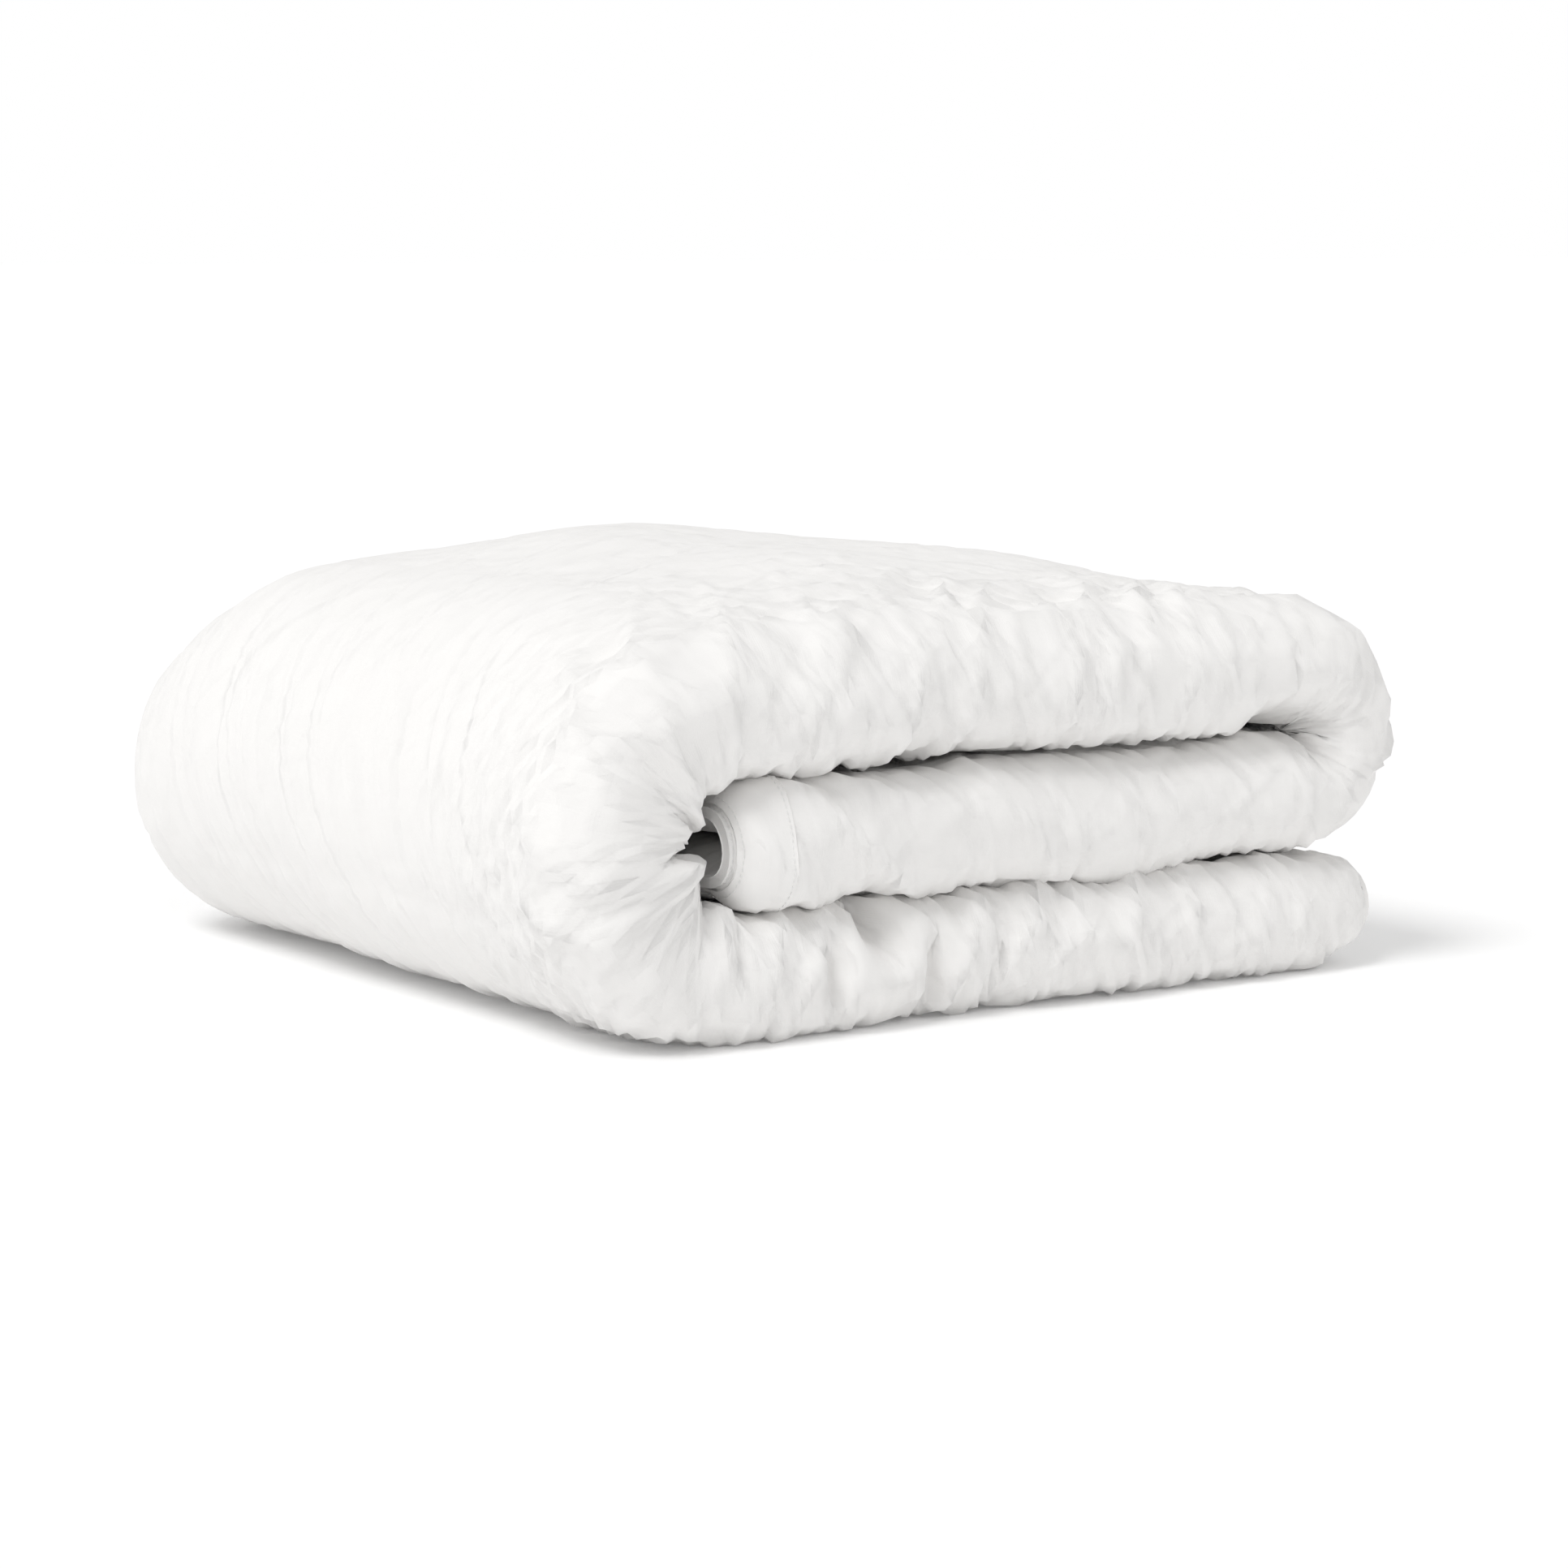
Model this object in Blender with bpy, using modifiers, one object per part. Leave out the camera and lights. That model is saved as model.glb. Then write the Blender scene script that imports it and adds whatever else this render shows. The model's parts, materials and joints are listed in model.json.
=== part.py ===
"""Folded duvet: a single duvet in a plain buttoned cover, halved lengthwise and folded in three.

Every piece is laid out flat first, as a block in three measures. `along` runs from the head end to the
foot end, `across` runs from one long side to the other, and a Level says how deep in the thickness a
surface lies. lay() then bends that layout: in half across the width, so that the halving fold faces -Y,
and in three along the length, round the left fold at -X and the right fold at +X. The head third lies
on the floor, the middle third is on top, and the foot third is tucked between them.

Metres, +Z up. The origin is on the floor under the middle of the pile.
"""

import math
from collections import namedtuple

import bmesh
import bpy
from mathutils import Matrix, Vector

# Driving dimensions of the folded pile.
PILE_WIDTH = 0.66           # X, from the left fold to the right fold
PILE_DEPTH = 0.61           # Y, from the halving fold to the two long sides
PANEL_THICKNESS = 0.078     # one third of the pile: two halves of the duvet lying on each other
CROWN = 0.045               # how much higher the middle of the top panel stands
HEAD_SETBACK = 0.022        # the head end stops this far short of the right fold
FOOT_SETBACK = 0.002        # the foot end stops this far short of the left fold's hinge line
EDGE_ROUND = 0.056          # length over which the fill thins towards a sewn edge

# Cloth and clearances.
CLEARANCE = 0.0003          # between pieces that lie on each other
TICKING = 0.0004            # the duvet's own downproof shell
COVER = 0.0005              # the cover's cotton
BAFFLE = 0.0008             # the walls between the channels of down
HALVES_GAP = 0.0014         # air between the two halves
TUCK_GAP = 0.0010           # air between the head panel and the tucked panel
TURN_GAP = 0.0060           # air inside the right fold
EDGE_FILL = 0.0030          # room left between the two sheets at a sewn edge
SEAM_WIDTH = 0.0040         # sewn edges of the cover
INSERT_INSET = 0.0120       # the duvet lies this far inside its cover's seams

# Buttoned opening at the foot end, ties and label.
BUTTON_COUNT = 5
BUTTON_RADIUS = 0.0080
BUTTON_THICKNESS = 0.0020
BUTTON_ROUND = 0.0005
BUTTON_ROOM = 0.0037        # how much thinner a half is where a button's inner rim lies
BUTTON_SPACING_END = 0.6    # of a button space, from the outermost button to its long side
PLACKET_WIDTH = 0.0340
PLACKET_THICKNESS = 0.0010
TIE_WIDTH = 0.0080
TIE_THICKNESS = 0.0010
LABEL_LENGTH = 0.045
LABEL_WIDTH = 0.026
LABEL_THICKNESS = 0.0003
LABEL_PLACE = 0.120         # from the left fold to the label

# How finely each bend is laid.
LEFT_STEPS = 6
RIGHT_STEPS = 4
FRONT_STEPS = 4
TOP_STEPS = 4
SHARP_ANGLE = math.radians(35.0)     # edges sharper than this aren't smoothed over

# Derived sizes of the section.
SKINS = 2 * CLEARANCE + TICKING + COVER
LEAF_THICKNESS = (PANEL_THICKNESS - HALVES_GAP) / 2
LEAF_MIDDLE = (PANEL_THICKNESS + HALVES_GAP) / 4
FILL_THICKNESS = LEAF_THICKNESS - 2 * SKINS
FRONT_Y = -PILE_DEPTH / 2 + PANEL_THICKNESS / 2
LEAF_WIDTH = PILE_DEPTH - PANEL_THICKNESS / 2
FRONT_LENGTH = math.pi * LEAF_MIDDLE
INSERT_EDGE = SEAM_WIDTH + INSERT_INSET

# Derived sizes of the fold in three.
PILE_HEIGHT = 3 * PANEL_THICKNESS + TUCK_GAP + TURN_GAP
LEFT_RADIUS = (PILE_HEIGHT - PANEL_THICKNESS) / 2
RIGHT_RADIUS = (PANEL_THICKNESS + TURN_GAP) / 2
FOLD_X = -PILE_WIDTH / 2 + LEFT_RADIUS + PANEL_THICKNESS / 2
TURN_X = PILE_WIDTH / 2 - RIGHT_RADIUS - PANEL_THICKNESS / 2
TURN_Z = PILE_HEIGHT - PANEL_THICKNESS / 2 - RIGHT_RADIUS
HEAD_X = PILE_WIDTH / 2 - HEAD_SETBACK
TOP_LENGTH = TURN_X - FOLD_X

# Places along the length, from the head end at zero to the foot end.
LEFT_START = HEAD_X - FOLD_X
LEFT_END = LEFT_START + math.pi * LEFT_RADIUS
RIGHT_START = LEFT_END + TOP_LENGTH
RIGHT_END = RIGHT_START + math.pi * RIGHT_RADIUS
FOOT_END = RIGHT_END + TOP_LENGTH - FOOT_SETBACK
PLACKET_START = FOOT_END - SEAM_WIDTH - PLACKET_WIDTH

# Places across the width, from the outer half's long side at zero to the inner half's long side.
FRONT_START = LEAF_WIDTH
FRONT_MIDDLE = LEAF_WIDTH + FRONT_LENGTH / 2
FRONT_END = LEAF_WIDTH + FRONT_LENGTH
FAR_SIDE = 2 * LEAF_WIDTH + FRONT_LENGTH
OUTER_WALL = PILE_DEPTH / 2
INNER_WALL = FAR_SIDE - PILE_DEPTH / 2

# The upper two thirds open about this line, and turning half way round lays them flat on the left.
HINGE = Vector((FOLD_X, 0.0, (PILE_HEIGHT + CROWN) / 2))

# A Level is a share of the fill's half thickness, from -1 inside to 1 outside, and a height above that.
Level = namedtuple("Level", "fill skin")

FILL_LEVELS = (Level(-1, 0.0), Level(1, 0.0))
TICKING_OUTER_LEVELS = (Level(1, CLEARANCE), Level(1, CLEARANCE + TICKING))
TICKING_INNER_LEVELS = (Level(-1, -CLEARANCE - TICKING), Level(-1, -CLEARANCE))
FACE_LEVELS = (Level(1, SKINS - COVER), Level(1, SKINS))
BACK_LEVELS = (Level(-1, -SKINS), Level(-1, COVER - SKINS))
SEAM_LEVELS = (Level(-1, -SKINS), Level(1, SKINS))
PLACKET_LEVELS = (Level(1, SKINS + CLEARANCE), Level(1, SKINS + CLEARANCE + PLACKET_THICKNESS))
TIE_LEVELS = (Level(0, -TIE_THICKNESS / 2), Level(0, TIE_THICKNESS / 2))
LABEL_LEVELS = (Level(-1, -SKINS - CLEARANCE - LABEL_THICKNESS), Level(-1, -SKINS - CLEARANCE))

# Each body's stretch of the length, and each run of down within it.
STRETCHES = {
    "base": (0.0, LEFT_START),
    "fold": (LEFT_START, LEFT_END),
    "upper": (LEFT_END, FOOT_END),
}
DOWN_RUNS = {
    "head": (0.0, LEFT_START),
    "left_fold": (LEFT_START, LEFT_END),
    "top": (LEFT_END, RIGHT_START),
    "right_fold": (RIGHT_START, RIGHT_END),
    "tuck": (RIGHT_END, FOOT_END),
}
CHANNELS = {
    "outer_back": (0.0, OUTER_WALL),
    "outer_front": (OUTER_WALL, FRONT_MIDDLE),
    "inner_front": (FRONT_MIDDLE, INNER_WALL),
    "inner_back": (INNER_WALL, FAR_SIDE),
}
WALLS = {"outer": OUTER_WALL, "middle": FRONT_MIDDLE, "inner": INNER_WALL}


def spread(start, end, steps):
    """Evenly spaced stations from start up to, but not including, end."""
    return [start + (end - start) * step / steps for step in range(steps)]


def edge_stations(edge, inward):
    """Stations at a sewn edge, its seam line, the duvet's edge and the end of its thinning fill."""
    steps = (0.0, SEAM_WIDTH, INSERT_EDGE, SEAM_WIDTH + EDGE_ROUND)
    return [edge + inward * step for step in steps]


def along_stations():
    """Where the length has an edge or a bend."""
    stations = edge_stations(0.0, 1)
    stations += spread(LEFT_START, LEFT_END, LEFT_STEPS)
    stations += spread(LEFT_END, RIGHT_START, TOP_STEPS)
    stations += spread(RIGHT_START, RIGHT_END, RIGHT_STEPS)
    stations += [RIGHT_END, PLACKET_START]
    return sorted(stations + edge_stations(FOOT_END, -1))


def across_stations():
    """Where the width has an edge, a wall, a bend or a change of the crown's height."""
    quarter = PILE_DEPTH / 4
    stations = edge_stations(0.0, 1) + [quarter, OUTER_WALL, OUTER_WALL + quarter]
    stations += spread(FRONT_START, FRONT_END, FRONT_STEPS) + [FRONT_END]
    stations += [INNER_WALL - quarter, INNER_WALL, FAR_SIDE - quarter]
    return sorted(stations + edge_stations(FAR_SIDE, -1))


ALONG = along_stations()
ACROSS = across_stations()


def fullness(distance):
    """Share of the full thickness at a distance from a sewn edge."""
    thinnest = EDGE_FILL / FILL_THICKNESS
    reach = min(max((distance - SEAM_WIDTH) / EDGE_ROUND, 0.0), 1.0)
    return thinnest + (1 - thinnest) * math.sqrt(1 - (1 - reach) ** 2)


def crown_height(x, y):
    """Height that the top panel's puff adds at a point of the pile."""
    half_length = TOP_LENGTH / 2
    over_x = (x - FOLD_X - half_length) / half_length
    over_y = y / (PILE_DEPTH / 2)
    return CROWN * max(0.0, 1 - over_x ** 2) * max(0.0, 1 - over_y ** 2)


def section_point(along, across, level):
    """Depth in the pile and height above the panel's middle, after folding in half."""
    full = fullness(min(along, FOOT_END - along)) * fullness(min(across, FAR_SIDE - across))
    reach = LEAF_MIDDLE + level.fill * full * FILL_THICKNESS / 2 + level.skin
    if across <= FRONT_START:
        return PILE_DEPTH / 2 - across, reach
    if across >= FRONT_END:
        return FRONT_Y + across - FRONT_END, -reach
    turn = math.pi * (across - FRONT_START) / FRONT_LENGTH
    return FRONT_Y - reach * math.sin(turn), reach * math.cos(turn)


def station_point(along, across, level):
    """Place of one station after both folds."""
    y, height = section_point(along, across, level)
    if along <= LEFT_START:
        return Vector((HEAD_X - along, y, PANEL_THICKNESS / 2 - height))
    if along < LEFT_END:
        turn = (along - LEFT_START) / LEFT_RADIUS
        radius = LEFT_RADIUS + height
        x = FOLD_X - radius * math.sin(turn)
        return Vector((x, y, PILE_HEIGHT / 2 - radius * math.cos(turn)))
    if along <= RIGHT_START:
        x = FOLD_X + along - LEFT_END
        outside = max(0.0, height) / (PANEL_THICKNESS / 2)
        lift = crown_height(x, y) * outside
        return Vector((x, y, PILE_HEIGHT - PANEL_THICKNESS / 2 + height + lift))
    if along < RIGHT_END:
        turn = (along - RIGHT_START) / RIGHT_RADIUS
        radius = RIGHT_RADIUS + height
        return Vector((TURN_X + radius * math.sin(turn), y, TURN_Z + radius * math.cos(turn)))
    return Vector((TURN_X - along + RIGHT_END, y, TURN_Z - RIGHT_RADIUS - height))


def bracket(stations, place):
    """The two stations that a place lies between, and its share of the way from one to the other."""
    for low, high in zip(stations, stations[1:]):
        if place <= high:
            return low, high, (place - low) / (high - low)
    return stations[-2], stations[-1], 1.0


def lay(along, across, level):
    """Place of any point of the layout: straight between stations, so that all layers lie alike."""
    along_low, along_high, along_share = bracket(ALONG, along)
    across_low, across_high, across_share = bracket(ACROSS, across)
    near = station_point(along_low, across_low, level).lerp(
        station_point(along_low, across_high, level), across_share)
    far = station_point(along_high, across_low, level).lerp(
        station_point(along_high, across_high, level), across_share)
    return near.lerp(far, along_share)


def stations_between(stations, start, end):
    """Both ends of a stretch and the stations inside it."""
    shortest = CLEARANCE / 2
    inside = [place for place in stations if start + shortest < place < end - shortest]
    return [start] + inside + [end]


def flat_block(columns, rows):
    """A flat block of grid cells, split along the same diagonals whatever it is laid round."""
    bm = bmesh.new()
    bmesh.ops.create_grid(bm, x_segments=columns, y_segments=rows, size=1.0)
    bmesh.ops.triangulate(bm, faces=bm.faces, quad_method="FIXED")
    raised = bmesh.ops.extrude_face_region(bm, geom=bm.faces[:], use_keep_orig=True)["geom"]
    top = [vert for vert in raised if isinstance(vert, bmesh.types.BMVert)]
    bmesh.ops.translate(bm, verts=top, vec=(0, 0, 1))
    bmesh.ops.recalc_face_normals(bm, faces=bm.faces)
    return bm


def laid_mesh(name, along_range, across_range, levels, origin):
    """A closed block of the flat layout, laid round the folds."""
    along = stations_between(ALONG, *along_range)
    across = stations_between(ACROSS, *across_range)
    columns = len(along) - 1
    rows = len(across) - 1
    bm = flat_block(columns, rows)
    for vert in bm.verts:
        column = round((vert.co.x + 1) / 2 * columns)
        row = round((vert.co.y + 1) / 2 * rows)
        level = levels[round(vert.co.z)]
        vert.co = lay(along[column], across[row], level) - origin
    if bm.calc_volume(signed=True) < 0:
        bmesh.ops.reverse_faces(bm, faces=bm.faces)
    mesh = bpy.data.meshes.new(name)
    bm.to_mesh(mesh)
    bm.free()
    return mesh


def clear_scene():
    """Remove the startup objects."""
    for old in list(bpy.data.objects):
        bpy.data.objects.remove(old)


def make_material(name, colour, roughness):
    """A plain cloth or button material."""
    material = bpy.data.materials.new(name)
    material.use_nodes = True
    shader = material.node_tree.nodes["Principled BSDF"]
    shader.inputs["Base Color"].default_value = (*colour, 1.0)
    shader.inputs["Roughness"].default_value = roughness
    shader.inputs["Metallic"].default_value = 0.0
    return material


def make_materials():
    """One material for each kind of piece."""
    return {
        "cover": make_material("cover_cotton", (0.90, 0.90, 0.89), 0.85),
        "ticking": make_material("ticking_cotton", (0.93, 0.92, 0.89), 0.75),
        "down": make_material("down_fill", (0.95, 0.94, 0.91), 1.0),
        "baffle": make_material("baffle_tape", (0.88, 0.88, 0.86), 0.9),
        "seam": make_material("seam_cotton", (0.88, 0.88, 0.87), 0.85),
        "button": make_material("button_shell", (0.93, 0.92, 0.88), 0.3),
        "tie": make_material("tie_ribbon", (0.90, 0.90, 0.88), 0.7),
        "label": make_material("label_satin", (0.94, 0.94, 0.93), 0.5),
    }


class Bench:
    """The collection, the empties and the materials that every piece is made with."""

    def __init__(self):
        self.collection = bpy.data.collections.new("folded_duvet")
        bpy.context.scene.collection.children.link(self.collection)
        self.materials = make_materials()
        self.floor = self.empty("floor_origin", Vector((0, 0, 0)))
        self.hinge = self.empty("unfold_hinge", HINGE)

    def empty(self, name, place):
        """An empty that pieces are parented to."""
        holder = bpy.data.objects.new(name, None)
        holder.location = place
        self.collection.objects.link(holder)
        return holder

    def holder(self, body):
        """The empty that a body's pieces hang from."""
        return self.hinge if body == "upper" else self.floor

    def add(self, name, mesh, material, body):
        """Put one piece in the collection, on its body's empty."""
        piece = bpy.data.objects.new(name, mesh)
        piece.parent = self.holder(body)
        mesh.materials.append(self.materials[material])
        mesh.shade_smooth()
        mesh.set_sharp_from_angle(angle=SHARP_ANGLE)
        self.collection.objects.link(piece)
        return piece

    def add_laid(self, name, along, across, levels, material, body):
        """Lay one block round the folds and put it on its body."""
        origin = self.holder(body).location
        mesh = laid_mesh(name, along, across, levels, origin)
        return self.add(name, mesh, material, body)


def narrowed(stretch, inset):
    """A stretch of the length, kept clear of its neighbours and inset from the two ends."""
    start, end = stretch
    start += inset if start == 0.0 else CLEARANCE / 2
    end -= inset if end == FOOT_END else CLEARANCE / 2
    return start, end


def width_inside(inset):
    """The whole width, inset from both long sides."""
    return inset, FAR_SIDE - inset


def make_cover(bench):
    """The face sheet outside and the back sheet between the halves, in each body's stretch."""
    for body, stretch in STRETCHES.items():
        along = narrowed(stretch, SEAM_WIDTH)
        across = width_inside(SEAM_WIDTH)
        bench.add_laid(f"cover_face_{body}", along, across, FACE_LEVELS, "cover", body)
        bench.add_laid(f"cover_back_{body}", along, across, BACK_LEVELS, "cover", body)


def make_ticking(bench):
    """The duvet's own shell, above and below its down."""
    for body, stretch in STRETCHES.items():
        along = narrowed(stretch, INSERT_EDGE)
        across = width_inside(INSERT_EDGE)
        bench.add_laid(f"ticking_outer_{body}", along, across, TICKING_OUTER_LEVELS, "ticking", body)
        bench.add_laid(f"ticking_inner_{body}", along, across, TICKING_INNER_LEVELS, "ticking", body)


def body_of(run):
    """The body that a run of the length belongs to."""
    for body, (start, end) in STRETCHES.items():
        if start <= run[0] < end:
            return body
    raise ValueError(f"no body holds the run {run}")


def channel_range(channel):
    """A channel's width, clear of the walls beside it."""
    start, end = channel
    beside = BAFFLE / 2 + CLEARANCE
    start += INSERT_EDGE if start == 0.0 else beside
    end -= INSERT_EDGE if end == FAR_SIDE else beside
    return start, end


def make_down(bench):
    """Four channels of down, each in one solid for each run of the length."""
    for run_name, run in DOWN_RUNS.items():
        along = narrowed(run, INSERT_EDGE)
        for channel_name, channel in CHANNELS.items():
            across = channel_range(channel)
            name = f"down_{run_name}_{channel_name}"
            bench.add_laid(name, along, across, FILL_LEVELS, "down", body_of(run))


def make_baffles(bench):
    """The walls between the channels."""
    for body, stretch in STRETCHES.items():
        along = narrowed(stretch, INSERT_EDGE)
        for wall_name, place in WALLS.items():
            across = (place - BAFFLE / 2, place + BAFFLE / 2)
            bench.add_laid(f"baffle_{wall_name}_{body}", along, across, FILL_LEVELS, "baffle", body)


def make_side_seams(bench):
    """The two long sewn edges of the cover, one on each half."""
    inner_edge = SEAM_WIDTH - CLEARANCE
    sides = {"outer": (0.0, inner_edge), "inner": (FAR_SIDE - inner_edge, FAR_SIDE)}
    for body, stretch in STRETCHES.items():
        along = narrowed(stretch, SEAM_WIDTH)
        for side, across in sides.items():
            bench.add_laid(f"side_seam_{side}_{body}", along, across, SEAM_LEVELS, "seam", body)


def make_hems(bench):
    """The sewn head end, the foot end's hem and the placket that covers its opening."""
    across = (0.0, FAR_SIDE)
    inner_edge = SEAM_WIDTH - CLEARANCE
    bench.add_laid("head_seam", (0.0, inner_edge), across, SEAM_LEVELS, "seam", "base")
    foot = (FOOT_END - inner_edge, FOOT_END)
    bench.add_laid("foot_hem", foot, across, SEAM_LEVELS, "seam", "upper")
    placket = (PLACKET_START, FOOT_END - SEAM_WIDTH)
    bench.add_laid("placket", placket, width_inside(SEAM_WIDTH), PLACKET_LEVELS, "seam", "upper")


def button_mesh():
    """A flat round button with a softened rim."""
    bm = bmesh.new()
    bmesh.ops.create_cone(bm, cap_ends=True, segments=16, radius1=BUTTON_RADIUS,
                          radius2=BUTTON_RADIUS, depth=BUTTON_THICKNESS)
    mesh = bpy.data.meshes.new("button")
    bm.to_mesh(mesh)
    bm.free()
    return mesh


def button_inset():
    """From the foot hem to a button's centre: near enough the edge for the thinned fill to leave it room."""
    thinnest = EDGE_FILL / FILL_THICKNESS
    full = 1 - BUTTON_ROOM / (FILL_THICKNESS / 2)
    share = (full - thinnest) / (1 - thinnest)
    return (1 - math.sqrt(1 - share ** 2)) * EDGE_ROUND - BUTTON_RADIUS


def button_seat(across):
    """Centre and outward direction of a button lying on the placket."""
    along = FOOT_END - SEAM_WIDTH - button_inset()
    step = BUTTON_RADIUS / 2
    level = PLACKET_LEVELS[1]
    seat = lay(along, across, level)
    along_way = lay(along + step, across, level) - lay(along - step, across, level)
    across_way = lay(along, across + step, level) - lay(along, across - step, level)
    outward = along_way.cross(across_way).normalized()
    if outward.dot(seat - lay(along, across, FACE_LEVELS[0])) < 0:
        outward.negate()
    return seat + outward * (CLEARANCE + BUTTON_THICKNESS / 2), outward


def make_buttons(bench):
    """Buttons along the placket, evenly spaced over the width and clear of the halving fold."""
    half = BUTTON_COUNT // 2
    others = BUTTON_COUNT - half
    end = BUTTON_SPACING_END
    places = [LEAF_WIDTH * (count + end) / (half + end) for count in range(half)]
    places += [FAR_SIDE - LEAF_WIDTH * (count + end) / (others + end) for count in range(others)]
    for number, across in enumerate(sorted(places), start=1):
        centre, outward = button_seat(across)
        piece = bench.add(f"button_{number}", button_mesh(), "button", "upper")
        turn = outward.to_track_quat("Z", "Y").to_matrix().to_4x4()
        piece.matrix_local = Matrix.Translation(centre - bench.hinge.location) @ turn
        bevel = piece.modifiers.new("rim", "BEVEL")
        bevel.width = BUTTON_ROUND
        bevel.segments = 1
        bevel.limit_method = "ANGLE"


def make_corner_ties(bench):
    """Ribbons that hold the duvet's corners in its cover's corners."""
    near = (SEAM_WIDTH + CLEARANCE, INSERT_EDGE - CLEARANCE)
    ends = {"head": (near, "base"), "foot": ((FOOT_END - near[1], FOOT_END - near[0]), "upper")}
    tie = (INSERT_EDGE, INSERT_EDGE + TIE_WIDTH)
    sides = {"outer": tie, "inner": (FAR_SIDE - tie[1], FAR_SIDE - tie[0])}
    for end, (along, body) in ends.items():
        for side, across in sides.items():
            bench.add_laid(f"corner_tie_{end}_{side}", along, across, TIE_LEVELS, "tie", body)


def make_label(bench):
    """A blank label sewn in at the long side, between the halves."""
    along = (LEFT_END + LABEL_PLACE, LEFT_END + LABEL_PLACE + LABEL_LENGTH)
    across = (SEAM_WIDTH, SEAM_WIDTH + LABEL_WIDTH)
    bench.add_laid("care_label", along, across, LABEL_LEVELS, "label", "upper")


def build():
    """Make the whole duvet."""
    clear_scene()
    bench = Bench()
    make_cover(bench)
    make_ticking(bench)
    make_down(bench)
    make_baffles(bench)
    make_side_seams(bench)
    make_hems(bench)
    make_buttons(bench)
    make_corner_ties(bench)
    make_label(bench)


build()
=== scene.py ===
"""Folded duvet: the looks of a duvet in a plain buttoned cotton cover, folded into a pile.

Everything is laid out flat and then folded, as the real duvet is. `along` runs from the head end to the
foot end, `across` from one long side to the other, and a level says how deep in the thickness a surface
lies. Pile.lay() bends that layout in half, with the halving fold at -Y, and in three, round the left fold
at -X and the right fold at +X.
"""

import json
import math

import bmesh
import bpy
import numpy as np
from bpy.props import FloatProperty, FloatVectorProperty, IntProperty, PointerProperty
from bpy.types import Operator, Panel, PropertyGroup
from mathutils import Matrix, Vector


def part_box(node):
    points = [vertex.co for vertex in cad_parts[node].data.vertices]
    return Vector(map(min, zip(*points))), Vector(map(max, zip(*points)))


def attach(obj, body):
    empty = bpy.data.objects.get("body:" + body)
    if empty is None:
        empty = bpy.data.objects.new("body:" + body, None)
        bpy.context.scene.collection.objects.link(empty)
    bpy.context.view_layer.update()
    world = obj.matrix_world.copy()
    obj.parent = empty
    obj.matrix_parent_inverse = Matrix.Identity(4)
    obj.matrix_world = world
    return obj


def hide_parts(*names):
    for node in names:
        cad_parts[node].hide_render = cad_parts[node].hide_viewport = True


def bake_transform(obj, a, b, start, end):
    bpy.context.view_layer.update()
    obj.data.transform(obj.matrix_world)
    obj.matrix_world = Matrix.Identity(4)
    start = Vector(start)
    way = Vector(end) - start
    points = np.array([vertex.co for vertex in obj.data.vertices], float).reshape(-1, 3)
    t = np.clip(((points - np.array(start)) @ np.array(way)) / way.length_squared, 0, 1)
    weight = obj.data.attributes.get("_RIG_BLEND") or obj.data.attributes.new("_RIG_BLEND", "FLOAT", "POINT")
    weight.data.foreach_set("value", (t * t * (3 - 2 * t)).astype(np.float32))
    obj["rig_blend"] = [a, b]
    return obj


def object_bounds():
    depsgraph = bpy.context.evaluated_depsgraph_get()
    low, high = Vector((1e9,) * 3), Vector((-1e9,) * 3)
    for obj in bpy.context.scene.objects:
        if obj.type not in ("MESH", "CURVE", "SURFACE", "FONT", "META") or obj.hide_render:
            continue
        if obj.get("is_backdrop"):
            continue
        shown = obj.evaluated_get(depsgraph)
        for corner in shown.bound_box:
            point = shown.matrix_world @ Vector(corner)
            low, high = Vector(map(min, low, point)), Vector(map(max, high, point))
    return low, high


bl_info = {
    "name": "Folded Duvet",
    "version": (1, 0, 0),
    "blender": (4, 5, 0),
    "location": "View3D > Sidebar > Duvet",
    "description": "Builds a duvet in a buttoned cotton cover, folded into a pile",
    "category": "Add Mesh",
}

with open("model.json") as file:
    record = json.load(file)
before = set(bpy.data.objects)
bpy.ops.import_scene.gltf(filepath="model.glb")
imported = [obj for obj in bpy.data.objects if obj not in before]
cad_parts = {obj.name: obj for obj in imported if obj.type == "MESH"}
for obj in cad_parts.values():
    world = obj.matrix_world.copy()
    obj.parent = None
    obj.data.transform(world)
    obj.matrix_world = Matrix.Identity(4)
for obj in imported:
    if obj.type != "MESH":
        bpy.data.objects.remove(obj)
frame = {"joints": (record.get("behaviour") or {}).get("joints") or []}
CAD_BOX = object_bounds()

BASE = "base"
UPPER = "upper"
RUNS = ("head", "left_fold", "top", "right_fold", "tuck")
STRETCHES = ("base", "fold", "upper")

# Fits that the solids keep.
CLEARANCE = 0.0003
SEAM_WIDTH = 0.0040
SKINS = 0.0015
HALVES_GAP = 0.0014
TUCK_GAP = 0.0010
EDGE_FILL = 0.0030
END_ROUND = 0.056
SIDE_ROUND = 0.050

# How the fill bulges the top third and sinks towards the back edge.
CROWN_BEFORE = 0.16
CROWN_AFTER = 0.05
BACK_DROOP = 0.022


def soft_noise(first, second, seed, low, high, waves=9):
    """Smooth noise from -1 to 1 over two measures in metres, with wavelengths from low to high."""
    chance = np.random.RandomState(seed)
    total = np.zeros(np.broadcast(first, second).shape)
    for _ in range(waves):
        heading = chance.uniform(0, 2 * math.pi)
        turns = 2 * math.pi / chance.uniform(low, high)
        phase = chance.uniform(0, 2 * math.pi)
        total = total + np.sin(turns * (first * math.cos(heading) + second * math.sin(heading)) + phase)
    return total / math.sqrt(waves) / 1.6


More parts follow.
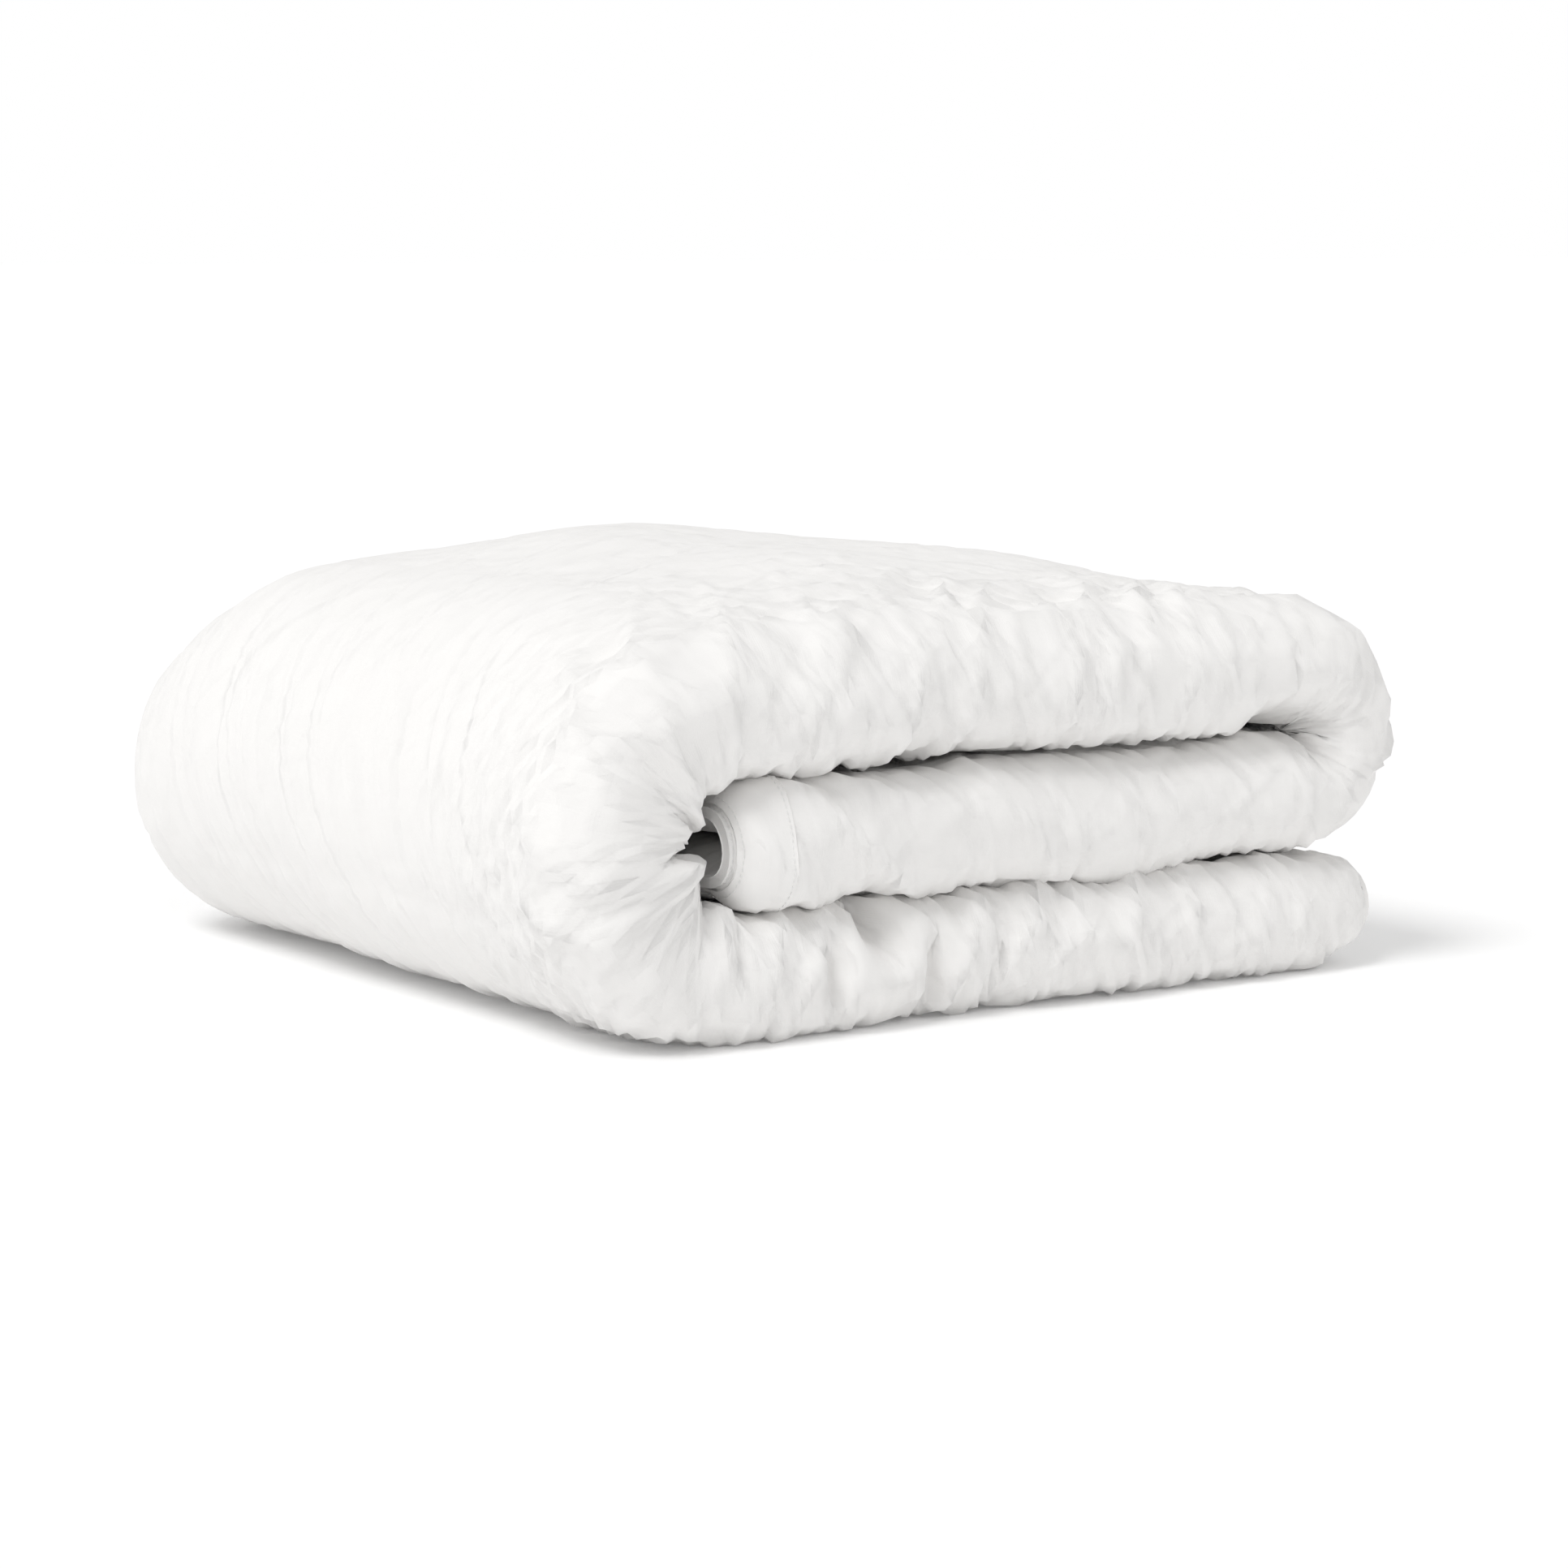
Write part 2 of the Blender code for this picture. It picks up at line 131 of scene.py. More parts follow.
class Pile:
    """Sizes of the folded pile, read from the frame, and the lay of the cloth in it."""

    def __init__(self):
        low, high = (Vector(corner) for corner in CAD_BOX)
        base_low, base_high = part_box("cover_face_base")
        fold_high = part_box("cover_face_fold")[1]
        hinge = frame["joints"][0]["pos_m"]
        self.width = high.x - low.x
        self.depth = high.y - low.y
        self.thickness = base_high[2] - base_low[2]
        self.height = fold_high[2]
        self.crown = high.z - fold_high[2]
        self.hinge = Vector(hinge)
        self.fold_x = hinge[0]
        half = self.thickness / 2
        turn_gap = self.height - 3 * self.thickness - TUCK_GAP
        self.left_radius = (self.height - self.thickness) / 2
        self.right_radius = (self.thickness + turn_gap) / 2
        self.turn_x = self.width / 2 - self.right_radius - half
        self.turn_z = self.height - half - self.right_radius
        self.head_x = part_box("head_seam")[1][0]
        self.top_length = self.turn_x - self.fold_x
        foot_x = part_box("foot_hem")[0][0]
        # Places along the length.
        self.left_start = self.head_x - self.fold_x
        self.left_end = self.left_start + math.pi * self.left_radius
        self.right_start = self.left_end + self.top_length
        self.right_end = self.right_start + math.pi * self.right_radius
        self.foot_end = self.right_end + self.turn_x - foot_x
        # Places across the width.
        self.front_y = -self.depth / 2 + half
        self.leaf_width = self.depth - half
        self.leaf_middle = (self.thickness + HALVES_GAP) / 4
        self.front_length = math.pi * self.leaf_middle
        self.front_start = self.leaf_width
        self.front_middle = self.leaf_width + self.front_length / 2
        self.front_end = self.leaf_width + self.front_length
        self.far_side = 2 * self.leaf_width + self.front_length
        self.outer_wall = self.depth / 2
        self.inner_wall = self.far_side - self.depth / 2
        self.fill = (self.thickness - HALVES_GAP) / 2 - 2 * SKINS
        # Dimples along the halving fold: X, Z, width, height and depth.
        self.dimples = (
            (-0.098, 0.064, 0.012, 0.018, 0.040),
            (-0.138, 0.040, 0.008, 0.026, 0.016),
            (-0.058, 0.034, 0.008, 0.028, 0.018),
            (-0.010, 0.030, 0.012, 0.030, 0.010),
            (0.225, 0.168, 0.024, 0.014, 0.026),
        )
        self.moved = None

    def fullness(self, distance, edge_round):
        """Share of the full thickness at a distance from a sewn edge."""
        thinnest = EDGE_FILL / self.fill
        reach = np.clip((distance - SEAM_WIDTH) / edge_round, 0.0, 1.0)
        return thinnest + (1 - thinnest) * np.sqrt(1 - (1 - reach) ** 2)

    def puff(self, along, across):
        """How the fill's loft varies from place to place, as a factor near 1."""
        return 1 + 0.060 * soft_noise(along, across, 3, 0.16, 0.36) - 0.015

    def lay(self, along, across, fill=1.0, skin=SKINS):
        """Places of points of the layout, after both folds."""
        along, across = np.broadcast_arrays(np.asarray(along, float), np.asarray(across, float))
        full = self.fullness(np.minimum(along, self.foot_end - along), END_ROUND)
        full = full * self.fullness(np.minimum(across, self.far_side - across), SIDE_ROUND)
        reach = self.leaf_middle + fill * full * self.fill / 2 + skin
        inside = np.clip(reach / (self.thickness / 2), 0, 1) ** 2 * full
        reach = reach * (1 + (self.puff(along, across) - 1) * inside)
        turn = np.pi * np.clip((across - self.front_start) / self.front_length, 0, 1)
        y = self.front_y - reach * np.sin(turn)
        y = np.where(across <= self.front_start, self.depth / 2 - across, y)
        y = np.where(across >= self.front_end, self.front_y + across - self.front_end, y)
        height = reach * np.cos(turn) + self.waves(along, across)
        return self.fold_in_three(along, y, height)

    def waves(self, along, across):
        """How the whole thickness wanders near its sewn edges, where little fill holds it flat."""
        from_ends = np.minimum(along, self.foot_end - along)
        from_sides = np.minimum(across, self.far_side - across)
        loose = np.clip(1 - np.minimum(from_ends, from_sides) / 0.09, 0, 1)
        return 0.0045 * loose * soft_noise(along, across, 5, 0.05, 0.16)

    def bunch(self, angle, y, height):
        """How far the left fold's inner cloth is pushed in, at its front end, towards the fold's middle.

        The inner side of the fold has much less room than its outer side, so at the front, where the
        halving fold goes round it, the cloth stands in rounded lobes with sharp creases between them.
        """
        half = self.thickness / 2
        from_front = np.clip((y + self.depth / 2) / 0.17, 0, 1)
        near_front = np.cos(from_front * math.pi / 2) ** 1.6
        inner = np.clip((0.35 * half - height) / (1.35 * half), 0, 1) ** 1.3
        bent = angle + 0.20 * np.sin(3.1 * angle + 0.8) + 0.9 * from_front
        lobe = np.abs(np.sin(3.6 * bent + 0.9)) ** 0.55
        uneven = 0.85 + 0.15 * np.sin(5.3 * angle + 2.0)
        return near_front * inner * uneven * (0.38 + 0.62 * lobe)

    def fold_in_three(self, along, y, height):
        """Places after the fold in three of points already folded in half."""
        half = self.thickness / 2
        left_turn = np.clip((along - self.left_start) / self.left_radius, 0, math.pi)
        right_turn = np.clip((along - self.right_start) / self.right_radius, 0, math.pi)
        head = np.clip(along, None, self.left_start)
        top = np.clip(along - self.left_end, 0, self.top_length)
        tuck = np.clip(along - self.right_end, 0, None)
        left = self.left_radius + height
        tightest = 0.010
        reach = 0.05
        ease = np.clip((along - self.left_start + reach) / reach, 0, 1)
        ease = ease * np.clip((self.left_end + reach - along) / reach, 0, 1)
        pushed = self.bunch(left_turn, y, height) * np.sin(ease * math.pi / 2)
        in_fold = np.sin(left_turn) ** 0.4
        left = left - pushed * in_fold * np.clip(left - tightest, 0, None)
        right = self.right_radius + height
        crown_start = self.left_end - CROWN_BEFORE
        crown_end = self.right_start + CROWN_AFTER
        over_x = (2 * along - crown_start - crown_end) / (crown_end - crown_start)
        over_y = y / (self.depth / 2)
        over_middle = np.clip(height, 0, None)
        lift = self.crown * np.clip(1 - over_x ** 2, 0, None) ** 1.3
        lift = lift * np.clip(1 - np.abs(over_y) ** 2.6, 0, None)
        lift = lift * over_middle / half
        droop = BACK_DROOP * np.clip((over_y - 0.55) / 0.45, 0, 1) ** 2 * over_middle / half
        droop = droop * np.clip((left_turn - 1.2) / 1.2, 0, 1)
        droop = droop * np.cos(np.clip(right_turn, 0, math.pi / 2))
        lift = lift - droop
        left = left + lift
        right = right + lift
        stages = [along <= self.left_start, along <= self.left_end, along <= self.right_start,
                  along <= self.right_end]
        x = np.select(stages, [
            self.head_x - head,
            self.fold_x - left * np.sin(left_turn),
            self.fold_x + top,
            self.turn_x + right * np.sin(right_turn),
        ], self.turn_x - tuck)
        z = np.select(stages, [
            half - height,
            self.height / 2 - left * np.cos(left_turn),
            self.height - half + height + lift,
            self.turn_z + right * np.cos(right_turn),
        ], self.turn_z - self.right_radius - height)
        on_front = np.clip((self.front_y + 0.03 - y) / 0.02, 0, 1)
        for place_x, place_z, width, tall, deep in self.dimples:
            far = ((x - place_x) / width) ** 2 + ((z - place_z) / tall) ** 2
            y = y + deep * np.exp(-far) * on_front
        return np.stack([x, y, z], axis=-1)

    def remember(self, along, across, moved):
        """Keep how the face sheet's grid moved from where it was laid."""
        self.moved = (along, across, moved)

    def follow(self, along, across):
        """How the face sheet moved at a place, for the pieces that are sewn to it."""
        rows, columns, moved = self.moved
        along, across = np.broadcast_arrays(np.asarray(along, float), np.asarray(across, float))
        row = np.clip(np.searchsorted(rows, along) - 1, 0, len(rows) - 2)
        column = np.clip(np.searchsorted(columns, across) - 1, 0, len(columns) - 2)
        down = np.clip((along - rows[row]) / (rows[row + 1] - rows[row]), 0, 1)[..., None]
        over = np.clip((across - columns[column]) / (columns[column + 1] - columns[column]), 0, 1)[..., None]
        near = moved[row, column] * (1 - over) + moved[row, column + 1] * over
        far = moved[row + 1, column] * (1 - over) + moved[row + 1, column + 1] * over
        return near * (1 - down) + far * down


PILE = Pile()


# Sizes and colours that a user may change.

class DuvetSizes(PropertyGroup):
    """Sizes of the cloth's grid and of its wrinkles."""
    sheet_step: FloatProperty(
        name="Sheet Step", description="Spacing of the face sheet's grid", default=0.0048,
        min=0.003, max=0.03, unit="LENGTH")
    back_step: FloatProperty(
        name="Back Step", description="Spacing of the hidden sheets' grid", default=0.014,
        min=0.005, max=0.05, unit="LENGTH")
    wrinkle_cap: FloatProperty(
        name="Wrinkle Cap", description="How far a point of the face sheet may move as it wrinkles",
        default=0.013, min=0.0, max=0.03, unit="LENGTH")
    settle_frames: IntProperty(
        name="Settle Frames", description="Steps that the face sheet is simulated for", default=12,
        min=1, max=60)
    stitch_pitch: FloatProperty(
        name="Stitch Pitch", description="Distance from one stitch to the next", default=0.0042,
        min=0.001, max=0.02, unit="LENGTH")


class DuvetColours(PropertyGroup):
    """Colours of the cloths, buttons and floor."""
    cotton: FloatVectorProperty(
        name="Cotton", description="Colour of the cover", default=(0.885, 0.874, 0.860), subtype="COLOR",
        min=0, max=1)
    ticking: FloatVectorProperty(
        name="Ticking", description="Colour of the duvet's own shell", default=(0.88, 0.87, 0.84),
        subtype="COLOR", min=0, max=1)
    down: FloatVectorProperty(
        name="Down", description="Colour of the fill", default=(0.90, 0.88, 0.84), subtype="COLOR",
        min=0, max=1)
    button: FloatVectorProperty(
        name="Button", description="Colour of the shell buttons", default=(0.84, 0.82, 0.77),
        subtype="COLOR", min=0, max=1)
    floor: FloatVectorProperty(
        name="Floor", description="Colour of the studio floor", default=(0.95, 0.95, 0.95),
        subtype="COLOR", min=0, max=1)


def sizes():
    """The scene's size settings."""
    return bpy.context.scene.duvet_sizes


def colours():
    """The scene's colour settings."""
    return bpy.context.scene.duvet_colours


# Meshes.

def stations(start, end, step):
    """Evenly spaced stations from start to end, both included, about a step apart."""
    count = max(1, round((end - start) / step))
    return np.linspace(start, end, count + 1)


def grid_faces(rows, columns):
    """Faces of an open grid, as an array of corner indices."""
    index = np.arange(rows * columns).reshape(rows, columns)
    return np.stack([index[:-1, :-1], index[1:, :-1], index[1:, 1:], index[:-1, 1:]], axis=-1).reshape(-1, 4)


def link(name, mesh):
    """A new object in the scene, with its place in its mesh."""
    piece = bpy.data.objects.new(name, mesh)
    bpy.context.scene.collection.objects.link(piece)
    return piece


def add_cloth_map(mesh, along, across):
    """A UV map in metres that follows the cloth: across is U and along is V."""
    layer = mesh.uv_layers.new(name="cloth")
    corners = np.empty(len(mesh.loops), dtype=np.int32)
    mesh.loops.foreach_get("vertex_index", corners)
    flat = np.stack([across.ravel(), along.ravel()], axis=-1)[corners]
    layer.data.foreach_set("uv", flat.astype(np.float32).ravel())


def laid_sheet(name, along, across, fill, skin):
    """An open sheet of the layout."""
    rows, columns = np.meshgrid(along, across, indexing="ij")
    points = PILE.lay(rows, columns, fill, skin)
    mesh = bpy.data.meshes.new(name)
    mesh.from_pydata(points.reshape(-1, 3).tolist(), [], grid_faces(*rows.shape).tolist())
    mesh.update()
    add_cloth_map(mesh, rows, columns)
    mesh.shade_smooth()
    return link(name, mesh), rows, columns


def laid_slab(name, along, across, low, high, follow=False):
    """A closed block of the layout between two levels, each a (fill, skin) pair.

    One that follows moves with the settled face sheet, as a band sewn on it does.
    """
    rows, columns = np.meshgrid(along, across, indexing="ij")
    count = rows.size
    points = np.concatenate([
        PILE.lay(rows, columns, *low).reshape(-1, 3),
        PILE.lay(rows, columns, *high).reshape(-1, 3),
    ])
    if follow:
        points += np.tile(PILE.follow(rows, columns).reshape(-1, 3), (2, 1))
    faces = grid_faces(*rows.shape)
    index = np.arange(count).reshape(rows.shape)
    rim = np.concatenate([index[:-1, 0], index[-1, :-1], index[:0:-1, -1], index[0, :0:-1]])
    following = np.roll(rim, -1)
    walls = np.stack([rim, following, following + count, rim + count], axis=-1)
    everything = np.concatenate([faces[:, ::-1], faces + count, walls[:, ::-1]])
    mesh = bpy.data.meshes.new(name)
    mesh.from_pydata(points.tolist(), [], everything.tolist())
    mesh.update()
    add_cloth_map(mesh, np.tile(rows.ravel(), 2), np.tile(columns.ravel(), 2))
    turn_outward(mesh)
    mesh.shade_smooth()
    return link(name, mesh), np.tile(rows.ravel(), 2)


def turn_outward(mesh):
    """Point a closed mesh's faces outward."""
    bm = bmesh.new()
    bm.from_mesh(mesh)
    if bm.calc_volume(signed=True) < 0:
        bmesh.ops.reverse_faces(bm, faces=bm.faces)
    bm.to_mesh(mesh)
    bm.free()


def points_of(mesh):
    """A mesh's vertex places as an array."""
    points = np.empty(len(mesh.vertices) * 3, dtype=np.float32)
    mesh.vertices.foreach_get("co", points)
    return points.reshape(-1, 3).astype(float)


def apply_modifiers(piece):
    """Replace a piece's mesh by its evaluated one and drop its modifiers."""
    graph = bpy.context.evaluated_depsgraph_get()
    evaluated = piece.evaluated_get(graph)
    mesh = bpy.data.meshes.new_from_object(evaluated, preserve_all_data_layers=True, depsgraph=graph)
    piece.modifiers.clear()
    piece.data = mesh


def finish_piece(piece, material):
    """Give a piece its material."""
    piece.data.materials.clear()
    piece.data.materials.append(material)
    return piece


def mark_along(piece, along):
    """Keep each point's place along the length on the mesh, for bending at the left fold."""
    attribute = piece.data.attributes.new("along", "FLOAT", "POINT")
    attribute.data.foreach_set("value", np.asarray(along, np.float32).ravel())


def bend_at_left_fold(piece):
    """Make a piece bend between the two bodies: the head third stays, the left fold turns, the rest opens.

    A point of the left fold turns by its own angle about the hinge, so that the fold closes up
    smoothly as the pile opens.
    """
    mesh = piece.data
    points = points_of(mesh)
    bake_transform(piece, BASE, UPPER, start=(PILE.fold_x, 0, 0), end=(PILE.fold_x, 0, PILE.height))
    angle = np.arctan2(PILE.fold_x - points[:, 0], PILE.hinge.z - points[:, 2])
    weight = np.clip(angle / math.pi, 0, 1)
    if "along" in mesh.attributes:
        along = np.empty(len(mesh.vertices), dtype=np.float32)
        mesh.attributes["along"].data.foreach_get("value", along)
        in_head = along < (PILE.left_start + PILE.left_end) / 2
        weight = np.where(angle < 0, np.where(in_head, 0.0, 1.0), weight)
        weight = np.where(along <= PILE.left_start, 0.0, weight)
        weight = np.where(along >= PILE.left_end, 1.0, weight)
    else:
        over_head = points[:, 2] > PILE.thickness + TUCK_GAP / 2
        weight = np.where(angle < 0, over_head.astype(float), weight)
    mesh.attributes["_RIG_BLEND"].data.foreach_set("value", weight.astype(np.float32))


# Materials.

def new_material(name, colour, roughness, sheen=0.0):
    """A material with its Principled shader's plain values set."""
    material = bpy.data.materials.new(name)
    material.use_nodes = True
    shader = material.node_tree.nodes["Principled BSDF"]
    shader.inputs["Base Color"].default_value = (*colour, 1.0)
    shader.inputs["Roughness"].default_value = roughness
    shader.inputs["Sheen Weight"].default_value = sheen
    shader.inputs["Sheen Roughness"].default_value = 0.5
    return material, shader


def add_socket(tree, name, kind, direction, value=None):
    """Add one named input or output to a node group."""
    socket = tree.interface.new_socket(name=name, in_out=direction, socket_type=kind)
    if value is not None:
        socket.default_value = value


def math_node(nodes, operation, second=None):
    """A Math node, with its second number set where it's fixed."""
    node = nodes.new("ShaderNodeMath")
    node.operation = operation
    if second is not None:
        node.inputs[1].default_value = second
    return node


def cloth_group():
    """Woven cloth: slubs and a fine weave along both yarns, soft creases, and colour that varies a little."""
    name = "woven_cloth"
    if name in bpy.data.node_groups:
        return bpy.data.node_groups[name]
    tree = bpy.data.node_groups.new(name, "ShaderNodeTree")
    add_socket(tree, "Place", "NodeSocketVector", "INPUT")
    add_socket(tree, "Colour", "NodeSocketColor", "INPUT", (0.8, 0.8, 0.8, 1))
    add_socket(tree, "Shade", "NodeSocketColor", "INPUT", (0.7, 0.7, 0.7, 1))
    add_socket(tree, "Yarns", "NodeSocketFloat", "INPUT", 1400.0)
    add_socket(tree, "Crease", "NodeSocketFloat", "INPUT", 0.5)
    add_socket(tree, "Colour", "NodeSocketColor", "OUTPUT")
    add_socket(tree, "Height", "NodeSocketFloat", "OUTPUT")
    add_socket(tree, "Roughness", "NodeSocketFloat", "OUTPUT")
    nodes = tree.nodes
    links = tree.links
    start = nodes.new("NodeGroupInput")
    end = nodes.new("NodeGroupOutput")
    heights = []
    for yarn, stretch in (("warp", (1.0, 0.06, 1.0)), ("weft", (0.06, 1.0, 1.0))):
        mapping = nodes.new("ShaderNodeMapping")
        mapping.label = yarn
        mapping.inputs["Scale"].default_value = stretch
        grain = nodes.new("ShaderNodeTexNoise")
        grain.inputs["Detail"].default_value = 2.0
        links.new(start.outputs["Place"], mapping.inputs["Vector"])
        links.new(mapping.outputs["Vector"], grain.inputs["Vector"])
        links.new(start.outputs["Yarns"], grain.inputs["Scale"])
        heights.append(grain.outputs["Fac"])
    weave = math_node(nodes, "ADD")
    links.new(heights[0], weave.inputs[0])
    links.new(heights[1], weave.inputs[1])
    wrinkled = []
    for slant, length, fineness, depth in ((0.38, 9.0, 44.0, 1.0), (-0.75, 2.6, 24.0, 1.1)):
        stretch = nodes.new("ShaderNodeMapping")
        stretch.vector_type = "TEXTURE"
        stretch.inputs["Rotation"].default_value = (0, 0, slant)
        stretch.inputs["Scale"].default_value = (1.0, length, 1.0)
        level = nodes.new("ShaderNodeTexNoise")
        level.inputs["Scale"].default_value = fineness
        level.inputs["Detail"].default_value = 1.5
        level.inputs["Distortion"].default_value = 0.4
        centred = math_node(nodes, "SUBTRACT", 0.5)
        folded = math_node(nodes, "ABSOLUTE")
        sharp = math_node(nodes, "POWER", 1.35)
        deep = math_node(nodes, "MULTIPLY", 5.0 * depth)
        links.new(start.outputs["Place"], stretch.inputs["Vector"])
        links.new(stretch.outputs["Vector"], level.inputs["Vector"])
        links.new(level.outputs["Fac"], centred.inputs[0])
        links.new(centred.outputs[0], folded.inputs[0])
        links.new(folded.outputs[0], sharp.inputs[0])
        links.new(sharp.outputs[0], deep.inputs[0])
        wrinkled.append(deep.outputs[0])
    both = math_node(nodes, "ADD")
    links.new(wrinkled[0], both.inputs[0])
    links.new(wrinkled[1], both.inputs[1])
    soft = math_node(nodes, "MULTIPLY")
    links.new(both.outputs[0], soft.inputs[0])
    links.new(start.outputs["Crease"], soft.inputs[1])
    total = math_node(nodes, "MULTIPLY_ADD", 0.05)
    links.new(weave.outputs[0], total.inputs[0])
    links.new(soft.outputs[0], total.inputs[2])
    tone = nodes.new("ShaderNodeTexNoise")
    tone.inputs["Scale"].default_value = 9.0
    tone.inputs["Detail"].default_value = 3.0
    links.new(start.outputs["Place"], tone.inputs["Vector"])
    mix = nodes.new("ShaderNodeMix")
    mix.data_type = "RGBA"
    links.new(tone.outputs["Fac"], mix.inputs["Factor"])
    links.new(start.outputs["Colour"], mix.inputs["A"])
    links.new(start.outputs["Shade"], mix.inputs["B"])
    rough = nodes.new("ShaderNodeMapRange")
    rough.inputs["To Min"].default_value = 0.78
    rough.inputs["To Max"].default_value = 0.95
    links.new(weave.outputs[0], rough.inputs["Value"])
    links.new(mix.outputs["Result"], end.inputs["Colour"])
    links.new(total.outputs[0], end.inputs["Height"])
    links.new(rough.outputs["Result"], end.inputs["Roughness"])
    return tree


def cloth_material(name, colour, yarns, crease, bump, sheen, on_map=True):
    """Woven cloth whose pattern follows the piece's own cloth map, or its object coordinates."""
    if name in bpy.data.materials:
        return bpy.data.materials[name]
    material, shader = new_material(name, colour, 0.85, sheen)
    nodes = material.node_tree.nodes
    links = material.node_tree.links
    if on_map:
        place = nodes.new("ShaderNodeUVMap")
        place.uv_map = "cloth"
        source = place.outputs["UV"]
    else:
        place = nodes.new("ShaderNodeTexCoord")
        source = place.outputs["Object"]
    group = nodes.new("ShaderNodeGroup")
    group.node_tree = cloth_group()
    group.inputs["Colour"].default_value = (*colour, 1.0)
    group.inputs["Shade"].default_value = (*[0.965 * part for part in colour], 1.0)
    group.inputs["Yarns"].default_value = yarns
    group.inputs["Crease"].default_value = crease
    relief = nodes.new("ShaderNodeBump")
    relief.inputs["Strength"].default_value = bump
    relief.inputs["Distance"].default_value = 0.0026
    links.new(source, group.inputs["Place"])
    links.new(group.outputs["Colour"], shader.inputs["Base Color"])
    links.new(group.outputs["Roughness"], shader.inputs["Roughness"])
    links.new(group.outputs["Height"], relief.inputs["Height"])
    links.new(relief.outputs["Normal"], shader.inputs["Normal"])
    return material


def cotton():
    """The cover's plain percale."""
    return cloth_material("cover_cotton", colours().cotton, 1500.0, 0.85, 0.85, 0.12)


def seam_cotton():
    """The cover's cotton where it is folded and stitched, a little thicker."""
    return cloth_material("seam_cotton", colours().cotton, 1100.0, 0.8, 0.5, 0.1)


def ticking_cotton():
    """The duvet's own tightly woven shell."""
    return cloth_material("ticking_cotton", colours().ticking, 2200.0, 0.3, 0.25, 0.2)


def tape_cotton():
    """The narrow woven tape of the walls and ties."""
    return cloth_material("woven_tape", colours().ticking, 900.0, 0.2, 0.6, 0.05)


def label_satin():
    """The blank label's satin."""
    return cloth_material("label_satin", (0.88, 0.88, 0.87), 2600.0, 0.15, 0.25, 0.35)


def down_fill():
    """Loose down, in soft clumps."""
    return cloth_material("down_fill", colours().down, 320.0, 1.0, 0.9, 0.4)


def thread():
    """Sewing thread."""
    return cloth_material("sewing_thread", (0.84, 0.84, 0.83), 3000.0, 0.1, 0.4, 0.1, on_map=False)


def shell():
    """Polished shell of the buttons, with faint clouding."""
    name = "button_shell"
    if name in bpy.data.materials:
        return bpy.data.materials[name]
    material, shader = new_material(name, colours().button, 0.25)
    shader.inputs["Coat Weight"].default_value = 0.4
    nodes = material.node_tree.nodes
    links = material.node_tree.links
    place = nodes.new("ShaderNodeTexCoord")
    cloud = nodes.new("ShaderNodeTexNoise")
    cloud.inputs["Scale"].default_value = 260.0
    cloud.inputs["Distortion"].default_value = 1.2
    ramp = nodes.new("ShaderNodeValToRGB")
    ramp.color_ramp.elements[0].color = (0.72, 0.69, 0.62, 1)
    ramp.color_ramp.elements[1].color = (*colours().button, 1)
    links.new(place.outputs["Object"], cloud.inputs["Vector"])
    links.new(cloud.outputs["Fac"], ramp.inputs["Fac"])
    links.new(ramp.outputs["Color"], shader.inputs["Base Color"])
    return material


# The face sheet.

def graded(start, end, middle, fine, coarse, reach):
    """Stations from start to end, fine within reach of the middle and growing coarser away from it."""
    places = [middle]
    for way, last in ((1, end), (-1, start)):
        side = []
        place = middle
        while way * (last - place) > 0:
            far = np.clip((abs(place - middle) - reach) / reach, 0, 1)
            place += way * (fine + (coarse - fine) * far)
            side.append(place)
        side = middle + (np.array(side) - middle) * (last - middle) / (side[-1] - middle)
        places = [*places, *side] if way > 0 else [*side[::-1], *places]
    return np.array(places)


LEAST_HELD = 0.40


def wrinkle_weights(along, across):
    """How strongly each point is held where it was laid, and how taut its cloth is, from 0 to 1."""
    from_sides = np.minimum(across - SEAM_WIDTH, PILE.far_side - SEAM_WIDTH - across)
    edge = np.minimum(along - SEAM_WIDTH, from_sides)
    held = np.clip(1 - edge / 0.02, 0, 1)
    from_hem = PILE.foot_end - SEAM_WIDTH - along
    held = np.maximum(held, np.clip(1 - from_hem / 0.012, 0, 1))
    front = near_front(across, 0.05, 0.09)
    patchy = 0.5 + 0.5 * soft_noise(along, across, 11, 0.16, 0.45)
    middle = np.clip((along - PILE.right_end) / 0.05, 0, 1)
    loose = np.clip(0.02 + front * (0.85 - 0.35 * middle) + 0.10 * patchy, 0, 1)
    return np.maximum(held, LEAST_HELD - 0.04 * front), 1 - loose


def near_front(across, whole, fade):
    """1 over the halving fold, fading to 0 away from it."""
    from_front = np.abs(across - PILE.front_middle)
    return np.clip(1 - (from_front - whole) / fade, 0, 1)


def crease(along, across, seed, slant, long, short, width):
    """Puffs from 0 to 1 with sharp creases between them, stretched along the length and slanted."""
    first = (along + slant * across) / long
    second = (across - 0.15 * slant * along) / short
    wander = 0.35 * soft_noise(first, second, seed + 1, 1.6, 3.5)
    level = soft_noise(first + wander, second, seed, 0.8, 2.2)
    return np.clip(np.abs(level) / width, 0, 1) ** 0.6


def set_weights(piece, name, weights):
    """Give a piece a vertex group from an array of weights, rounded to a few levels."""
    group = piece.vertex_groups.new(name=name)
    steps = 40
    levels = np.round(np.asarray(weights).ravel() * steps).astype(int)
    for level in np.unique(levels):
        group.add(np.nonzero(levels == level)[0].tolist(), level / steps, "REPLACE")


